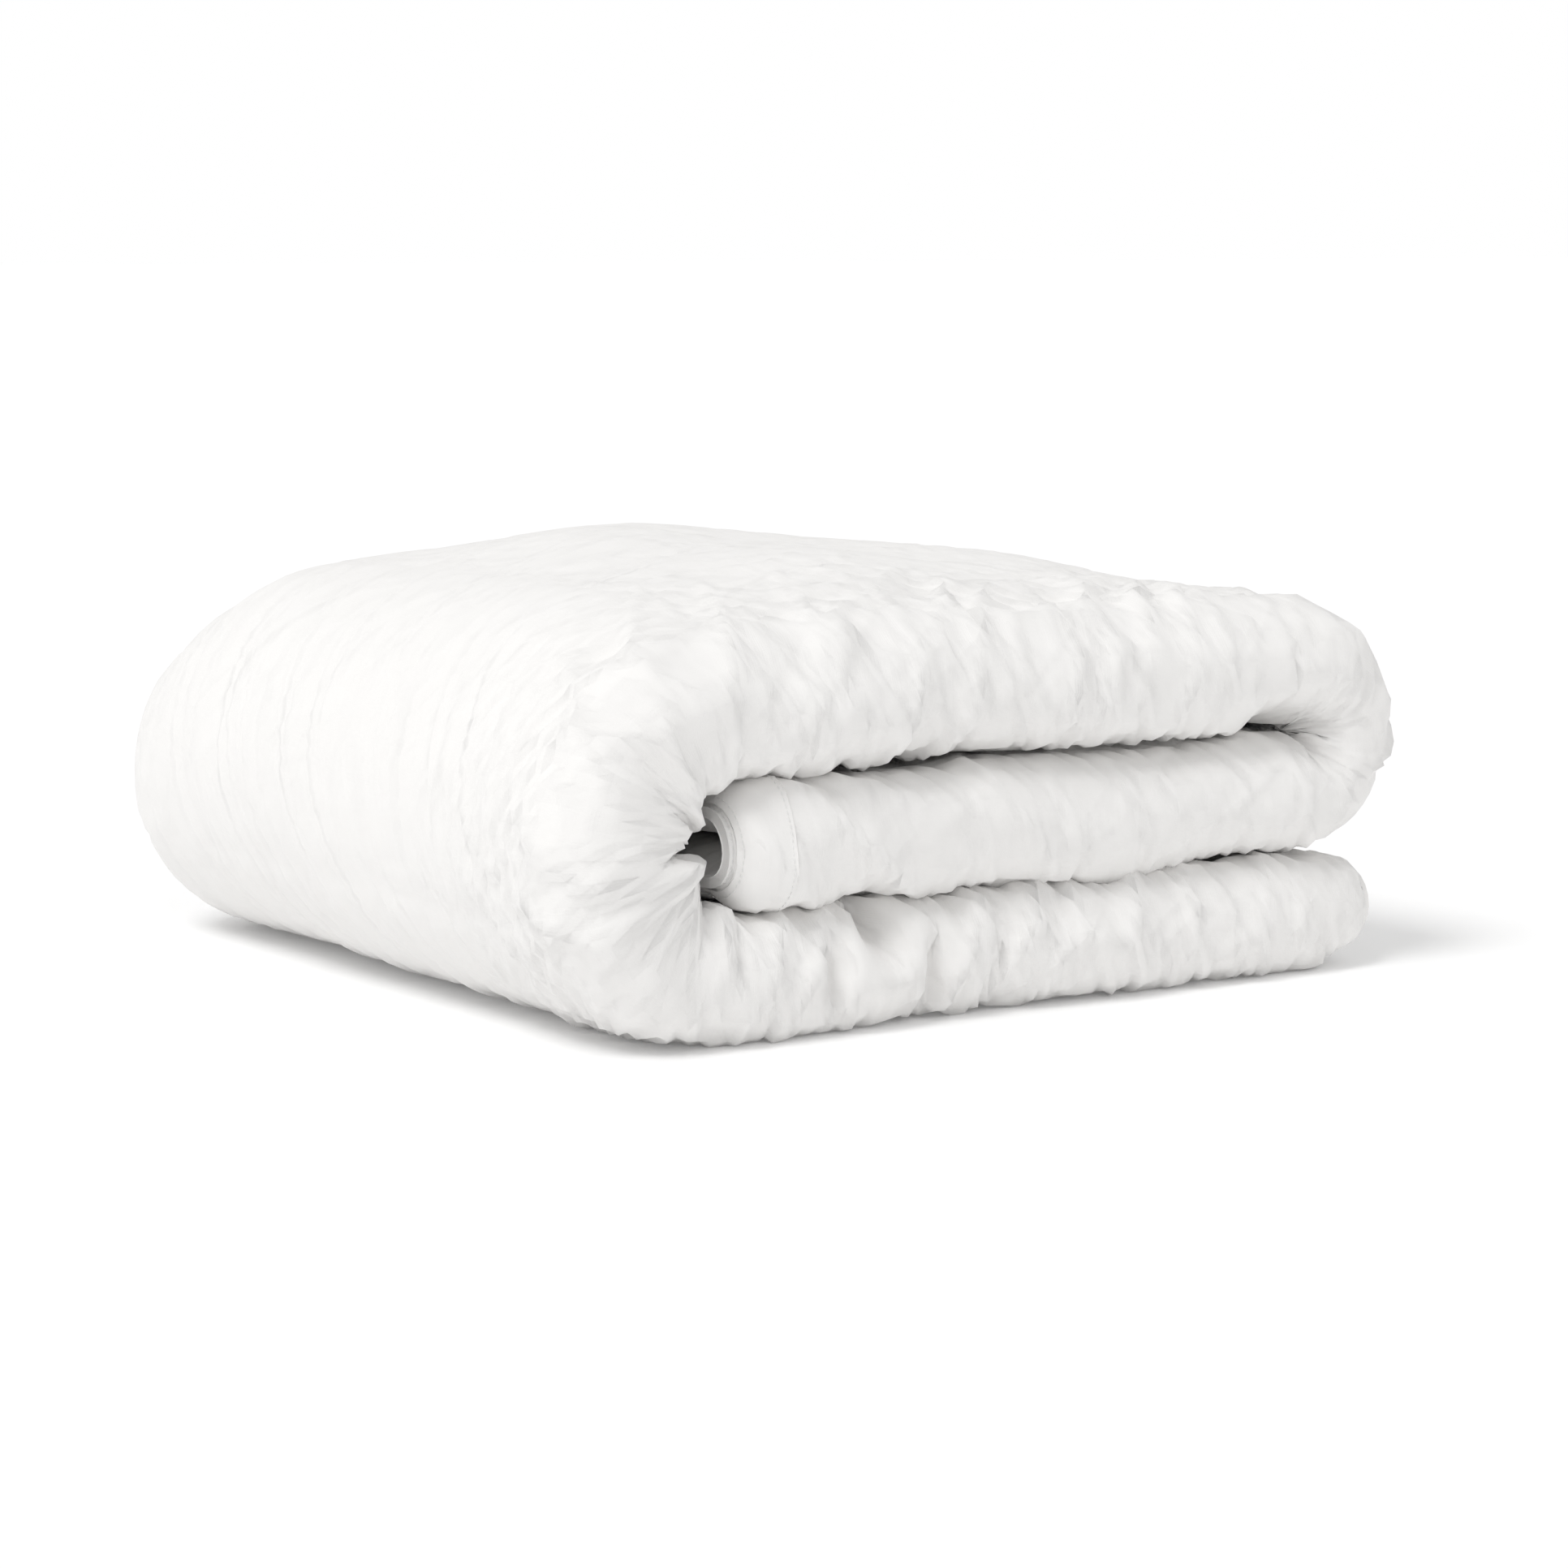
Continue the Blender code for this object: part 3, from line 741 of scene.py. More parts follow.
def settle(piece, held, taut, frames, cap):
    """Wrinkle a sheet: its cloth is a little larger than its lay, and the fill under it holds it up."""
    mesh = piece.data
    laid = points_of(mesh)
    set_weights(piece, "held", held)
    set_weights(piece, "taut", taut)
    modifier = piece.modifiers.new("settle", "CLOTH")
    cloth = modifier.settings
    cloth.quality = 4
    cloth.mass = 0.12
    cloth.tension_stiffness = 20
    cloth.compression_stiffness = 20
    cloth.shear_stiffness = 8
    cloth.bending_stiffness = 0.010
    cloth.tension_damping = 5
    cloth.compression_damping = 5
    cloth.shear_damping = 5
    cloth.bending_damping = 0.5
    cloth.air_damping = 2
    cloth.vertex_group_mass = "held"
    cloth.pin_stiffness = 1.0
    cloth.vertex_group_shrink = "taut"
    cloth.shrink_min = -0.060
    cloth.shrink_max = -0.006
    cloth.use_pressure = True
    cloth.uniform_pressure_force = 2.0
    cloth.effector_weights.gravity = 0
    modifier.collision_settings.use_collision = False
    scene = bpy.context.scene
    scene.frame_start = 1
    scene.frame_end = frames
    modifier.point_cache.frame_start = 1
    modifier.point_cache.frame_end = frames
    for step in range(1, frames + 1):
        scene.frame_set(step)
    graph = bpy.context.evaluated_depsgraph_get()
    settled = points_of(piece.evaluated_get(graph).data)
    piece.modifiers.clear()
    piece.vertex_groups.clear()
    scene.frame_set(1)
    moved = settled - laid
    far = np.linalg.norm(moved, axis=1, keepdims=True)
    moved *= np.tanh(far / cap) * cap / np.maximum(far, 1e-9)
    settled = laid + moved
    settled[:, 2] = np.maximum(settled[:, 2], 0.0)
    mesh.vertices.foreach_set("co", settled.astype(np.float32).ravel())
    mesh.update()


def facets(along, across, seed, long, short, slant):
    """Irregular flat puffs between sharp creases, from 0 in a crease to 1.

    Each puff lies round its own centre, and a crease runs where two puffs meet.
    """
    chance = np.random.RandomState(seed)
    first = (along + slant * across) / long
    second = across / short
    first = first + 0.45 * soft_noise(first, second, seed + 1, 1.5, 4.0)
    second = second + 0.45 * soft_noise(first, second, seed + 2, 1.5, 4.0)
    columns = int(np.ceil(first.max() - first.min())) + 4
    rows = int(np.ceil(second.max() - second.min())) + 4
    nudge = chance.uniform(0.05, 0.95, (columns, rows, 2))
    cell_first = np.floor(first - first.min()).astype(int) + 1
    cell_second = np.floor(second - second.min()).astype(int) + 1
    nearest = np.full(first.shape, 9.0)
    next_nearest = np.full(first.shape, 9.0)
    for a in (-1, 0, 1):
        for b in (-1, 0, 1):
            centre = nudge[cell_first + a, cell_second + b]
            far = np.hypot(cell_first + a + centre[..., 0] - 1 - first + first.min(),
                           cell_second + b + centre[..., 1] - 1 - second + second.min())
            next_nearest = np.where(far < nearest, nearest, np.minimum(next_nearest, far))
            nearest = np.minimum(nearest, far)
    return np.clip((next_nearest - nearest) / 0.7, 0, 1) ** 0.65


def shape_wrinkles(piece, along, across):
    """Press the cloth's main folds into it before it settles.

    Long shallow wrinkles wrap round the folds, crisp slanted ones lie along the halving fold, and the
    tucked third has a few wide ones.
    """
    mesh = piece.data
    normals = np.empty(len(mesh.vertices) * 3, dtype=np.float32)
    mesh.vertices.foreach_get("normal", normals)
    held, _ = wrinkle_weights(along, across)
    free = np.clip(1 - (held - LEAST_HELD) / 0.4, 0, 1)
    front = near_front(across, 0.030, 0.110)
    beside = near_front(across, 0.06, 0.22) * (1 - front)
    tucked = np.clip((along - PILE.right_end) / 0.05, 0, 1)
    long = crease(along, across, 21, 0.45, 0.42, 0.030, 0.5) - 0.8
    fine = crease(along, across, 43, 0.60, 0.30, 0.014, 0.5) - 0.8
    wide = facets(along, across, 67, 0.150, 0.075, -0.9) - 0.6
    crisp = facets(along, across, 83, 0.046, 0.090, 0.55) - 0.6
    small = facets(along, across, 97, 0.026, 0.050, -0.80) - 0.6
    strong = np.clip(0.75 + 0.6 * soft_noise(along, across, 71, 0.08, 0.2), 0.15, 1.3)
    depth = (0.0016 + 0.0016 * beside) * long + (0.0009 + 0.0009 * beside) * fine
    rolls = strong * (0.0085 * crisp + 0.0035 * small)
    depth = depth + front * ((1 - tucked) * rolls + tucked * (0.0100 * wide + 0.0015 * small))
    depth = free * depth
    points = points_of(mesh)
    moved = points + normals.reshape(-1, 3) * depth.reshape(-1, 1)
    moved[:, 2] = np.maximum(moved[:, 2], 0.0)
    mesh.vertices.foreach_set("co", moved.astype(np.float32).ravel())
    mesh.update()


class DUVET_OT_face_sheet(Operator):
    """Lay the cover's face sheet round both folds and let it wrinkle over the fill"""
    bl_idname = "duvet.face_sheet"
    bl_label = "Face Sheet"

    def execute(self, context):
        fine = sizes().sheet_step
        along = stations(SEAM_WIDTH, PILE.foot_end - SEAM_WIDTH, 1.1 * fine)
        across = graded(SEAM_WIDTH, PILE.far_side - SEAM_WIDTH, PILE.front_middle, fine, 1.9 * fine, 0.13)
        piece, rows, columns = laid_sheet("cover_face", along, across, 1.0, SKINS)
        shape_wrinkles(piece, rows, columns)
        held, taut = wrinkle_weights(rows, columns)
        settle(piece, held, taut, sizes().settle_frames, sizes().wrinkle_cap)
        moved = points_of(piece.data).reshape(*rows.shape, 3) - PILE.lay(rows, columns, 1.0, SKINS)
        PILE.remember(along, across, moved)
        mark_along(piece, rows)
        finish_piece(piece, cotton())
        bend_at_left_fold(piece)
        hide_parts(*[f"cover_face_{stretch}" for stretch in STRETCHES])
        return {"FINISHED"}


# The other cloths, the fill, the seams and the fittings.

UNDER = (0.42, -0.0035)
OVER = (-0.86, 0.0)
FILL_LOW = (-0.80, 0.0)
FILL_HIGH = (0.34, -0.0035)
INSERT_EDGE = 0.0160
WALL = 0.0008
FILL_STEP = 0.016
SEAM_STEP = 0.008


def full_along(inset, step):
    """Stations over the whole length, inset from both ends."""
    return stations(inset, PILE.foot_end - inset, step)


def across_halves(start, end, step):
    """Stations from start to end across, finer over the halving fold."""
    places = []
    margin, fine = 0.01, 0.006
    front = (PILE.front_start - margin, PILE.front_end + margin)
    parts = (
        (start, min(end, front[0]), step),
        (max(start, front[0]), min(end, front[1]), fine),
        (max(start, front[1]), end, step),
    )
    for low, high, gap in parts:
        if high > low:
            places.extend(stations(low, high, gap))
    return np.unique(np.round(places, 6))


def blended_sheet(name, inset, fill, skin, material, nodes):
    """Lay one of the large hidden sheets, which bends with the left fold."""
    along = full_along(inset, sizes().back_step)
    across = across_halves(inset, PILE.far_side - inset, sizes().back_step)
    piece, rows, _ = laid_sheet(name, along, across, fill, skin)
    mark_along(piece, rows)
    finish_piece(piece, material)
    bend_at_left_fold(piece)
    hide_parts(*nodes)


class DUVET_OT_back_sheet(Operator):
    """Lay the cover's back sheet, which is folded inside the halved duvet"""
    bl_idname = "duvet.back_sheet"
    bl_label = "Back Sheet"

    def execute(self, context):
        blended_sheet("cover_back", SEAM_WIDTH, -1.0, -SKINS, cotton(),
                      [f"cover_back_{stretch}" for stretch in STRETCHES])
        return {"FINISHED"}


class DUVET_OT_ticking(Operator):
    """Lay the two sheets of the duvet's own shell inside the cover"""
    bl_idname = "duvet.ticking"
    bl_label = "Ticking"

    def execute(self, context):
        for side, (fill, skin) in {"outer": UNDER, "inner": OVER}.items():
            blended_sheet(f"ticking_{side}", INSERT_EDGE, fill, skin, ticking_cotton(),
                          [f"ticking_{side}_{stretch}" for stretch in STRETCHES])
        return {"FINISHED"}


class DUVET_OT_down(Operator):
    """Fill the duvet's four long channels with down"""
    bl_idname = "duvet.down"
    bl_label = "Down Channels"

    def execute(self, context):
        ends = {
            "outer_back": (INSERT_EDGE, PILE.outer_wall),
            "outer_front": (PILE.outer_wall, PILE.front_middle),
            "inner_front": (PILE.front_middle, PILE.inner_wall),
            "inner_back": (PILE.inner_wall, PILE.far_side - INSERT_EDGE),
        }
        along = full_along(INSERT_EDGE, FILL_STEP)
        for channel, (start, end) in ends.items():
            across = across_halves(start + 2 * WALL, end - 2 * WALL, FILL_STEP)
            piece, rows = laid_slab(f"down_{channel}", along, across, FILL_LOW, FILL_HIGH)
            mark_along(piece, rows)
            finish_piece(piece, down_fill())
            bend_at_left_fold(piece)
            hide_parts(*[f"down_{run}_{channel}" for run in RUNS])
        return {"FINISHED"}


class DUVET_OT_baffles(Operator):
    """Set the woven walls between the channels of down"""
    bl_idname = "duvet.baffles"
    bl_label = "Baffles"

    def execute(self, context):
        places = {"outer": PILE.outer_wall, "middle": PILE.front_middle, "inner": PILE.inner_wall}
        along = full_along(INSERT_EDGE, FILL_STEP)
        for name, place in places.items():
            across = np.array([place - WALL / 2, place + WALL / 2])
            piece, rows = laid_slab(f"baffle_{name}", along, across, FILL_LOW, FILL_HIGH)
            mark_along(piece, rows)
            finish_piece(piece, tape_cotton())
            bend_at_left_fold(piece)
            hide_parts(*[f"baffle_{name}_{stretch}" for stretch in STRETCHES])
        return {"FINISHED"}


def seam_slab(name, along, across):
    """A sewn edge: the folded-in cloth of both sheets, pinched together."""
    return laid_slab(name, along, across, (-1.0, -SKINS), (1.0, SKINS))


class DUVET_OT_seams(Operator):
    """Sew the long sides, the head end and the buttoned foot end"""
    bl_idname = "duvet.seams"
    bl_label = "Seams"

    def execute(self, context):
        along = full_along(0.0, SEAM_STEP)
        sides = {"outer": (0.0, SEAM_WIDTH), "inner": (PILE.far_side - SEAM_WIDTH, PILE.far_side)}
        for side, ends in sides.items():
            piece, rows = seam_slab(f"side_seam_{side}", along, np.array(ends))
            mark_along(piece, rows)
            soften(piece)
            finish_piece(piece, seam_cotton())
            bend_at_left_fold(piece)
            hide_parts(*[f"side_seam_{side}_{stretch}" for stretch in STRETCHES])
        across = across_halves(SEAM_WIDTH, PILE.far_side - SEAM_WIDTH, SEAM_STEP)
        hem_start = PILE.foot_end - SEAM_WIDTH
        for name, ends, body in (("head_seam", (0.0, SEAM_WIDTH), BASE),
                                 ("foot_hem", (hem_start, PILE.foot_end), UPPER)):
            piece, _ = seam_slab(name, np.array(ends), across)
            soften(piece)
            finish_piece(piece, seam_cotton())
            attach(piece, body)
            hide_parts(name)
        return {"FINISHED"}


def soften(piece):
    """Round a seam's edges."""
    bevel = piece.modifiers.new("rounded", "BEVEL")
    bevel.width = 0.0008
    bevel.segments = 2
    bevel.limit_method = "ANGLE"
    bevel.angle_limit = math.radians(50)
    apply_modifiers(piece)
    piece.data.shade_smooth()


PLACKET_WIDTH = 0.0340
PLACKET_THICKNESS = 0.0010


class DUVET_OT_placket(Operator):
    """Lay the doubled band that carries the buttons"""
    bl_idname = "duvet.placket"
    bl_label = "Placket"

    def execute(self, context):
        end = PILE.foot_end - SEAM_WIDTH
        along = stations(end - PLACKET_WIDTH, end - CLEARANCE, 0.004)
        across = across_halves(SEAM_WIDTH, PILE.far_side - SEAM_WIDTH, SEAM_STEP)
        under = SKINS + CLEARANCE
        over = under + PLACKET_THICKNESS
        piece, _ = laid_slab("placket", along, across, (1.0, under), (1.0, over), follow=True)
        soften(piece)
        finish_piece(piece, seam_cotton())
        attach(piece, UPPER)
        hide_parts("placket")
        return {"FINISHED"}


BUTTONS = 5
BUTTON_RADIUS = 0.0080
BUTTON_THICKNESS = 0.0020
BUTTON_SKIN = SKINS + 0.002
HOLE_RADIUS = 0.00085
HOLE_OFFSET = 0.0017
DRILL_LENGTH = 0.006
THREAD_RADIUS = 0.00028


def button_profile(radius, thickness):
    """Half section of a four-hole button: a flat back, a rounded rim and a dished middle."""
    half = thickness / 2
    return [
        (0.0, -half), (0.80 * radius, -half), (0.94 * radius, -0.6 * half), (radius, 0.0),
        (0.97 * radius, 0.6 * half), (0.88 * radius, half), (0.78 * radius, 0.92 * half),
        (0.66 * radius, 0.25 * half), (0.40 * radius, 0.10 * half), (0.0, 0.10 * half),
    ]


def turned(name, profile, segments):
    """A closed shape turned about Z from its half section, whose ends lie on the axis."""
    vertices = [(0.0, 0.0, profile[0][1])]
    for radius, z in profile[1:-1]:
        for turn in range(segments):
            angle = 2 * math.pi * turn / segments
            vertices.append((radius * math.cos(angle), radius * math.sin(angle), z))
    vertices.append((0.0, 0.0, profile[-1][1]))
    rings = len(profile) - 2
    last = len(vertices) - 1
    faces = []
    for turn in range(segments):
        after = (turn + 1) % segments
        faces.append((0, 1 + after, 1 + turn))
        for ring in range(rings - 1):
            low = 1 + ring * segments
            high = low + segments
            faces.append((low + turn, low + after, high + after, high + turn))
        top = 1 + (rings - 1) * segments
        faces.append((top + turn, top + after, last))
    mesh = bpy.data.meshes.new(name)
    mesh.from_pydata(vertices, [], faces)
    mesh.update()
    turn_outward(mesh)
    mesh.shade_smooth()
    return mesh


def drilled(piece, places, radius, depth):
    """Cut round holes through a flat piece."""
    for place in places:
        bm = bmesh.new()
        bmesh.ops.create_cone(bm, cap_ends=True, segments=12, radius1=radius, radius2=radius, depth=depth)
        bmesh.ops.translate(bm, verts=bm.verts, vec=place)
        mesh = bpy.data.meshes.new("drill")
        bm.to_mesh(mesh)
        bm.free()
        drill = link("drill", mesh)
        cut = piece.modifiers.new("hole", "BOOLEAN")
        cut.object = drill
        cut.solver = "EXACT"
        apply_modifiers(piece)
        bpy.data.objects.remove(drill)


def rod_between(bm, start, end, radius, segments=8):
    """A short round rod with domed ends, between two points."""
    start, end = Vector(start), Vector(end)
    way = end - start
    turn = way.to_track_quat("Z", "Y").to_matrix().to_4x4()
    made = bmesh.ops.create_uvsphere(bm, u_segments=segments, v_segments=6, radius=radius)
    for vertex in made["verts"]:
        shift = way.length / 2 if vertex.co.z > 0 else -way.length / 2
        vertex.co.z += shift if abs(vertex.co.z) > 1e-9 else 0.0
        vertex.co = (turn @ vertex.co) + (start + end) / 2


def outward_at(along, across, near):
    """Direction that points out of the face sheet at a place, and away from the leaf's middle."""
    step = 0.004
    sides = [PILE.lay(along + a, across + b, 1.0, BUTTON_SKIN) for a, b in
             ((step, 0), (-step, 0), (0, step), (0, -step))]
    way = Vector(sides[0] - sides[1]).cross(Vector(sides[2] - sides[3])).normalized()
    inward = Vector(PILE.lay(along, across, -1.0, 0.0)) - Vector(near)
    return -way if way.dot(inward) > 0 else way


def place_across(centre, along):
    """The place across, at one place along, whose laid point is nearest to a centre."""
    across = np.linspace(SEAM_WIDTH, PILE.far_side - SEAM_WIDTH, 3000)
    points = PILE.lay(along, across, 1.0, BUTTON_SKIN)
    return across[np.argmin(np.linalg.norm(points - np.array(centre), axis=1))]


class DUVET_OT_buttons(Operator):
    """Sew on the shell buttons, each with four holes and a cross of thread"""
    bl_idname = "duvet.buttons"
    bl_label = "Buttons"

    def execute(self, context):
        for number in range(1, BUTTONS + 1):
            node = f"button_{number}"
            low, high = (Vector(corner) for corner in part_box(node))
            centre = (low + high) / 2
            along = np.linspace(PILE.foot_end - 0.04, PILE.foot_end - SEAM_WIDTH, 400)
            row = PILE.lay(along, place_across(centre, PILE.foot_end - 0.016), 1.0, BUTTON_SKIN)
            nearest = along[np.argmin(np.linalg.norm(row - np.array(centre), axis=1))]
            across = place_across(centre, nearest)
            outward = outward_at(nearest, across, centre)
            turn = outward.to_track_quat("Z", "Y").to_matrix().to_4x4()
            turn.translation = centre + Vector(PILE.follow(nearest, across)) + 0.0004 * outward
            holes = [(a * HOLE_OFFSET, b * HOLE_OFFSET, 0.0) for a in (-1, 1) for b in (-1, 1)]
            button = link(node, turned(node, button_profile(BUTTON_RADIUS, BUTTON_THICKNESS), 40))
            drilled(button, holes, HOLE_RADIUS, DRILL_LENGTH)
            button.data.transform(turn)
            button.data.update()
            finish_piece(button, shell())
            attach(button, UPPER)
            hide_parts(node)
            bm = bmesh.new()
            level = 0.25 * BUTTON_THICKNESS
            for a, b in ((0, 3), (1, 2)):
                start = Vector(holes[a]) + Vector((0, 0, level))
                end = Vector(holes[b]) + Vector((0, 0, level))
                for side in (-THREAD_RADIUS, THREAD_RADIUS):
                    shift = Vector((side, side * (1 if a else -1), 0.0001 * b))
                    rod_between(bm, start + shift, end + shift, THREAD_RADIUS)
            mesh = bpy.data.meshes.new(f"{node}_thread")
            bm.to_mesh(mesh)
            bm.free()
            mesh.transform(turn)
            mesh.shade_smooth()
            cross = link(f"{node}_thread", mesh)
            finish_piece(cross, thread())
            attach(cross, UPPER)
        return {"FINISHED"}


class DUVET_OT_ties(Operator):
    """Tie the duvet's four corners into the cover's corners"""
    bl_idname = "duvet.ties"
    bl_label = "Corner Ties"

    def execute(self, context):
        near = (SEAM_WIDTH + CLEARANCE, INSERT_EDGE - CLEARANCE)
        ends = {"head": (near, BASE), "foot": ((PILE.foot_end - near[1], PILE.foot_end - near[0]), UPPER)}
        width, half = 0.008, 0.0005
        sides = {
            "outer": (INSERT_EDGE, INSERT_EDGE + width),
            "inner": (PILE.far_side - INSERT_EDGE - width, PILE.far_side - INSERT_EDGE),
        }
        for end, (along, body) in ends.items():
            for side, across in sides.items():
                name = f"corner_tie_{end}_{side}"
                piece, _ = laid_slab(name, stations(*along, 0.0015), stations(*across, 0.001),
                                     (0.0, -half), (0.0, half))
                finish_piece(piece, tape_cotton())
                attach(piece, body)
                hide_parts(name)
        return {"FINISHED"}


class DUVET_OT_label(Operator):
    """Sew in the blank care label at the long side"""
    bl_idname = "duvet.label"
    bl_label = "Care Label"

    def execute(self, context):
        start = PILE.left_end + 0.120
        width, length = 0.045, 0.026
        along = stations(start, start + width, 0.003)
        across = stations(SEAM_WIDTH, SEAM_WIDTH + length, 0.002)
        piece, _ = laid_slab("care_label", along, across, (-1.0, -0.0021), (-1.0, -0.0018))
        finish_piece(piece, label_satin())
        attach(piece, UPPER)
        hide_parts("care_label")
        return {"FINISHED"}


# Stitching.

STITCH_THICKNESS = 0.0007


def stitch_row_tree():
    """Geometry Nodes: one rounded stitch every pitch along a path."""
    name = "stitch_row"
    if name in bpy.data.node_groups:
        return bpy.data.node_groups[name]
    tree = bpy.data.node_groups.new(name, "GeometryNodeTree")
    add_socket(tree, "Path", "NodeSocketGeometry", "INPUT")
    add_socket(tree, "Pitch", "NodeSocketFloat", "INPUT", 0.0042)
    add_socket(tree, "Length", "NodeSocketFloat", "INPUT", 0.0030)
    add_socket(tree, "Thickness", "NodeSocketFloat", "INPUT", STITCH_THICKNESS)
    add_socket(tree, "Thread", "NodeSocketMaterial", "INPUT")
    add_socket(tree, "Stitches", "NodeSocketGeometry", "OUTPUT")
    nodes = tree.nodes
    links = tree.links
    start = nodes.new("NodeGroupInput")
    end = nodes.new("NodeGroupOutput")
    places = nodes.new("GeometryNodeCurveToPoints")
    places.mode = "LENGTH"
    ball = nodes.new("GeometryNodeMeshUVSphere")
    ball.inputs["Segments"].default_value = 6
    ball.inputs["Rings"].default_value = 4
    ball.inputs["Radius"].default_value = 0.5
    size = nodes.new("ShaderNodeCombineXYZ")
    lay_on = nodes.new("GeometryNodeInstanceOnPoints")
    real = nodes.new("GeometryNodeRealizeInstances")
    paint = nodes.new("GeometryNodeSetMaterial")
    links.new(start.outputs["Path"], places.inputs["Curve"])
    links.new(start.outputs["Pitch"], places.inputs["Length"])
    links.new(start.outputs["Thickness"], size.inputs["X"])
    links.new(start.outputs["Thickness"], size.inputs["Y"])
    links.new(start.outputs["Length"], size.inputs["Z"])
    links.new(places.outputs["Points"], lay_on.inputs["Points"])
    links.new(places.outputs["Rotation"], lay_on.inputs["Rotation"])
    links.new(ball.outputs["Mesh"], lay_on.inputs["Instance"])
    links.new(size.outputs["Vector"], lay_on.inputs["Scale"])
    links.new(lay_on.outputs["Instances"], real.inputs["Geometry"])
    links.new(real.outputs["Geometry"], paint.inputs["Geometry"])
    links.new(start.outputs["Thread"], paint.inputs["Material"])
    links.new(paint.outputs["Geometry"], end.inputs["Stitches"])
    return tree


def stitch_row(name, points):
    """A row of stitches along points, as a plain mesh."""
    curve = bpy.data.curves.new(f"{name}_path", "CURVE")
    curve.dimensions = "3D"
    spline = curve.splines.new("POLY")
    spline.points.add(len(points) - 1)
    for place, point in zip(spline.points, points):
        place.co = (*point, 1.0)
    path = bpy.data.objects.new(f"{name}_path", curve)
    bpy.context.scene.collection.objects.link(path)
    modifier = path.modifiers.new("stitches", "NODES")
    tree = stitch_row_tree()
    modifier.node_group = tree
    inputs = {item.name: item.identifier for item in tree.interface.items_tree if item.in_out == "INPUT"}
    modifier[inputs["Pitch"]] = sizes().stitch_pitch
    modifier[inputs["Length"]] = 0.72 * sizes().stitch_pitch
    modifier[inputs["Thickness"]] = STITCH_THICKNESS
    modifier[inputs["Thread"]] = thread()
    graph = bpy.context.evaluated_depsgraph_get()
    mesh = bpy.data.meshes.new_from_object(path.evaluated_get(graph))
    bpy.data.objects.remove(path)
    bpy.data.curves.remove(curve)
    mesh.name = name
    mesh.shade_smooth()
    piece = link(name, mesh)
    return finish_piece(piece, thread())


class DUVET_OT_stitching(Operator):
    """Run the rows of stitches beside the seams and along the placket"""
    bl_idname = "duvet.stitching"
    bl_label = "Stitching"

    def execute(self, context):
        from_edge = 0.0025
        beside = SEAM_WIDTH - 0.0012
        above = SKINS + 0.0002
        along = full_along(0.001, 0.004)
        for side, across in {"outer": beside, "inner": PILE.far_side - beside}.items():
            row = stitch_row(f"side_stitches_{side}", PILE.lay(along, across, 1.0, above))
            bend_at_left_fold(row)
        across = across_halves(SEAM_WIDTH, PILE.far_side - SEAM_WIDTH, 0.004)
        row = stitch_row("head_stitches", PILE.lay(beside, across, 1.0, above))
        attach(row, BASE)
        hem = PILE.foot_end - beside
        on_band = above + CLEARANCE + PLACKET_THICKNESS
        rows = {
            "hem_stitches": (hem, above),
            "placket_stitches_foot": (PILE.foot_end - SEAM_WIDTH - from_edge, on_band),
            "placket_stitches_head": (PILE.foot_end - SEAM_WIDTH - PLACKET_WIDTH + from_edge, on_band),
        }
        for name, (place, level) in rows.items():
            points = PILE.lay(place, across, 1.0, level) + PILE.follow(place, across)
            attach(stitch_row(name, points), UPPER)
        return {"FINISHED"}


# Stage.

def show_white(world):
    """Show the studio's surroundings as plain white, however softly they light it."""
    nodes = world.node_tree.nodes
    links = world.node_tree.links
    seen = nodes.new("ShaderNodeBackground")
    seen.inputs["Color"].default_value = (1, 1, 1, 1)
    ray = nodes.new("ShaderNodeLightPath")
    mix = nodes.new("ShaderNodeMixShader")
    links.new(ray.outputs["Is Camera Ray"], mix.inputs["Fac"])
    links.new(nodes["Background"].outputs["Background"], mix.inputs[1])
    links.new(seen.outputs["Background"], mix.inputs[2])
    links.new(mix.outputs["Shader"], nodes["World Output"].inputs["Surface"])


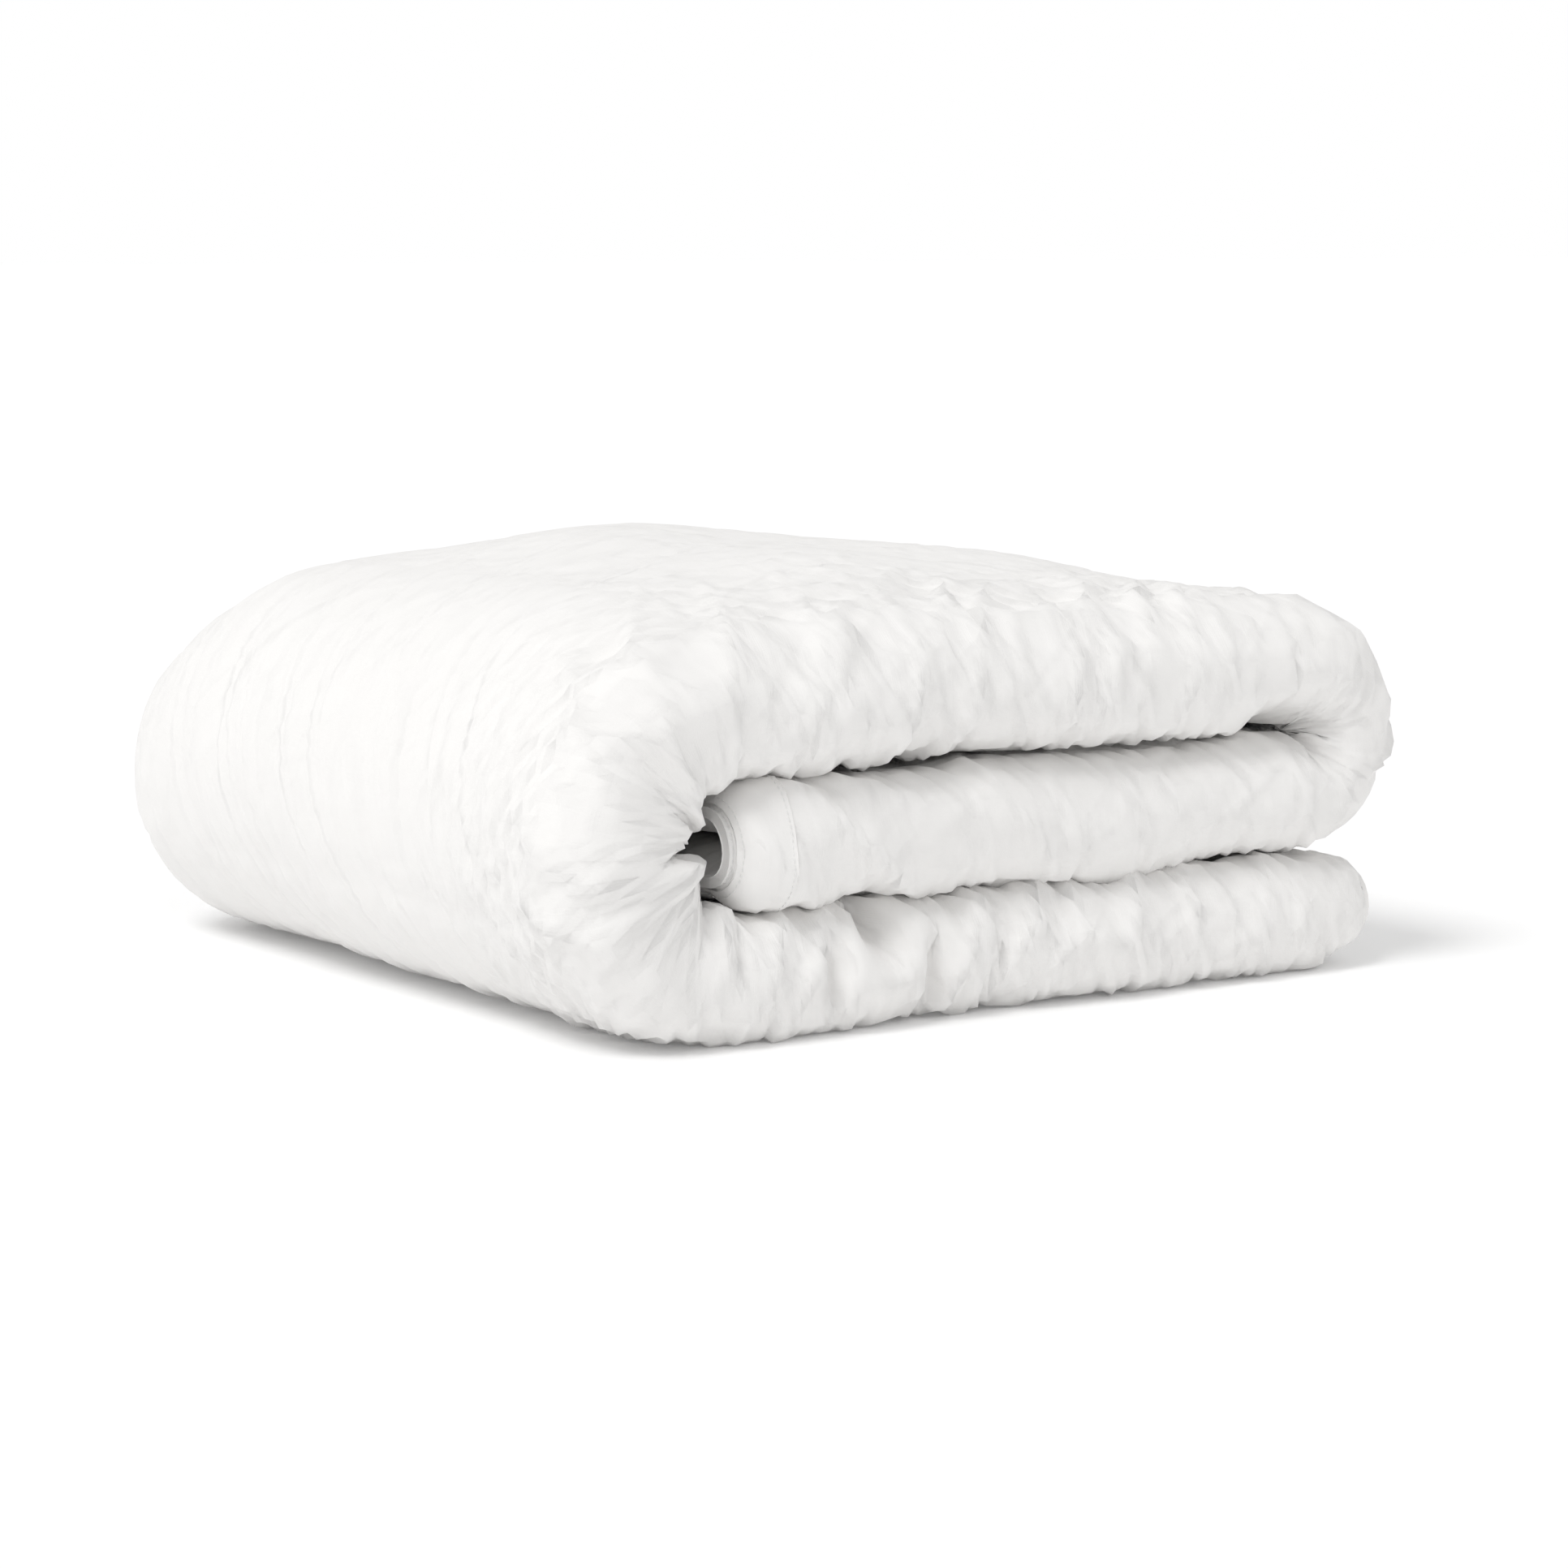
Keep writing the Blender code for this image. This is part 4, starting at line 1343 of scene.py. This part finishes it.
class DUVET_OT_stage(Operator):
    """Make the floor, the studio light and the camera"""
    bl_idname = "duvet.stage"
    bl_label = "Stage"

    def execute(self, context):
        scene = context.scene
        scene.view_settings.view_transform = "Standard"
        mesh = bpy.data.meshes.new("studio_floor")
        reach = 60.0
        corners = [(-reach, -reach, 0), (reach, -reach, 0), (reach, reach, 0), (-reach, reach, 0)]
        mesh.from_pydata(corners, [], [(0, 1, 2, 3)])
        mesh.update()
        floor = link("studio_floor", mesh)
        material, shader = new_material("studio_floor", colours().floor, 0.9)
        shader.inputs["Emission Color"].default_value = (1, 1, 1, 1)
        shader.inputs["Emission Strength"].default_value = 0.06
        mesh.materials.append(material)
        floor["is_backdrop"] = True
        middle = (0, 0, 0.13)
        light = bpy.data.lights.new("key", "SUN")
        light.energy = 1.30
        light.angle = math.radians(24)
        lamp = link("key", light)
        lamp.rotation_euler = Vector((-0.70, -0.20, 1.0)).to_track_quat("Z", "Y").to_euler()
        world = bpy.data.worlds.new("studio")
        scene.world = world
        world.use_nodes = True
        background = world.node_tree.nodes["Background"]
        background.inputs["Color"].default_value = (1, 1, 1, 1)
        background.inputs["Strength"].default_value = 0.70
        show_white(world)
        camera_data = bpy.data.cameras.new("camera")
        camera = link("camera", camera_data)
        turn, rise, distance = math.radians(34.0), math.radians(7.3), 2.8
        back = Vector((-math.sin(turn) * math.cos(rise), -math.cos(turn) * math.cos(rise), math.sin(rise)))
        camera.location = Vector(middle) + back * distance
        camera.rotation_euler = back.to_track_quat("Z", "Y").to_euler()
        camera_data.lens = 94.0
        camera_data.sensor_width = 36.0
        camera_data.shift_x = 0.024
        camera_data.shift_y = -0.016
        scene.camera = camera
        return {"FINISHED"}


class DUVET_PT_build(Panel):
    """Lists the duvet's pieces"""
    bl_idname = "DUVET_PT_build"
    bl_label = "Folded Duvet"
    bl_space_type = "VIEW_3D"
    bl_region_type = "UI"
    bl_category = "Duvet"

    def draw(self, context):
        layout = self.layout
        for settings in (context.scene.duvet_sizes, context.scene.duvet_colours):
            box = layout.box()
            for name in settings.bl_rna.properties.keys():
                if name not in ("rna_type", "name"):
                    box.prop(settings, name)
        for piece in PIECES:
            layout.operator(piece.bl_idname)


PIECES = (
    DUVET_OT_face_sheet,
    DUVET_OT_back_sheet,
    DUVET_OT_ticking,
    DUVET_OT_down,
    DUVET_OT_baffles,
    DUVET_OT_seams,
    DUVET_OT_placket,
    DUVET_OT_buttons,
    DUVET_OT_ties,
    DUVET_OT_label,
    DUVET_OT_stitching,
    DUVET_OT_stage,
)
CLASSES = (DuvetSizes, DuvetColours, *PIECES, DUVET_PT_build)


def register():
    """Register the settings, the operators and the panel."""
    for kind in CLASSES:
        bpy.utils.register_class(kind)
    bpy.types.Scene.duvet_sizes = PointerProperty(type=DuvetSizes)
    bpy.types.Scene.duvet_colours = PointerProperty(type=DuvetColours)


def unregister():
    """Remove what register() added."""
    del bpy.types.Scene.duvet_colours
    del bpy.types.Scene.duvet_sizes
    for kind in reversed(CLASSES):
        bpy.utils.unregister_class(kind)


def main():
    """Build every piece."""
    register()
    bpy.ops.duvet.face_sheet()
    bpy.ops.duvet.back_sheet()
    bpy.ops.duvet.ticking()
    bpy.ops.duvet.down()
    bpy.ops.duvet.baffles()
    bpy.ops.duvet.seams()
    bpy.ops.duvet.placket()
    bpy.ops.duvet.buttons()
    bpy.ops.duvet.ties()
    bpy.ops.duvet.label()
    bpy.ops.duvet.stitching()
    bpy.ops.duvet.stage()
    boxes = {"cad": CAD_BOX, "visual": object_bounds()}
    boxes = {name: [list(map(float, corner)) for corner in box] for name, box in boxes.items()}


if __name__ == "__main__":
    main()
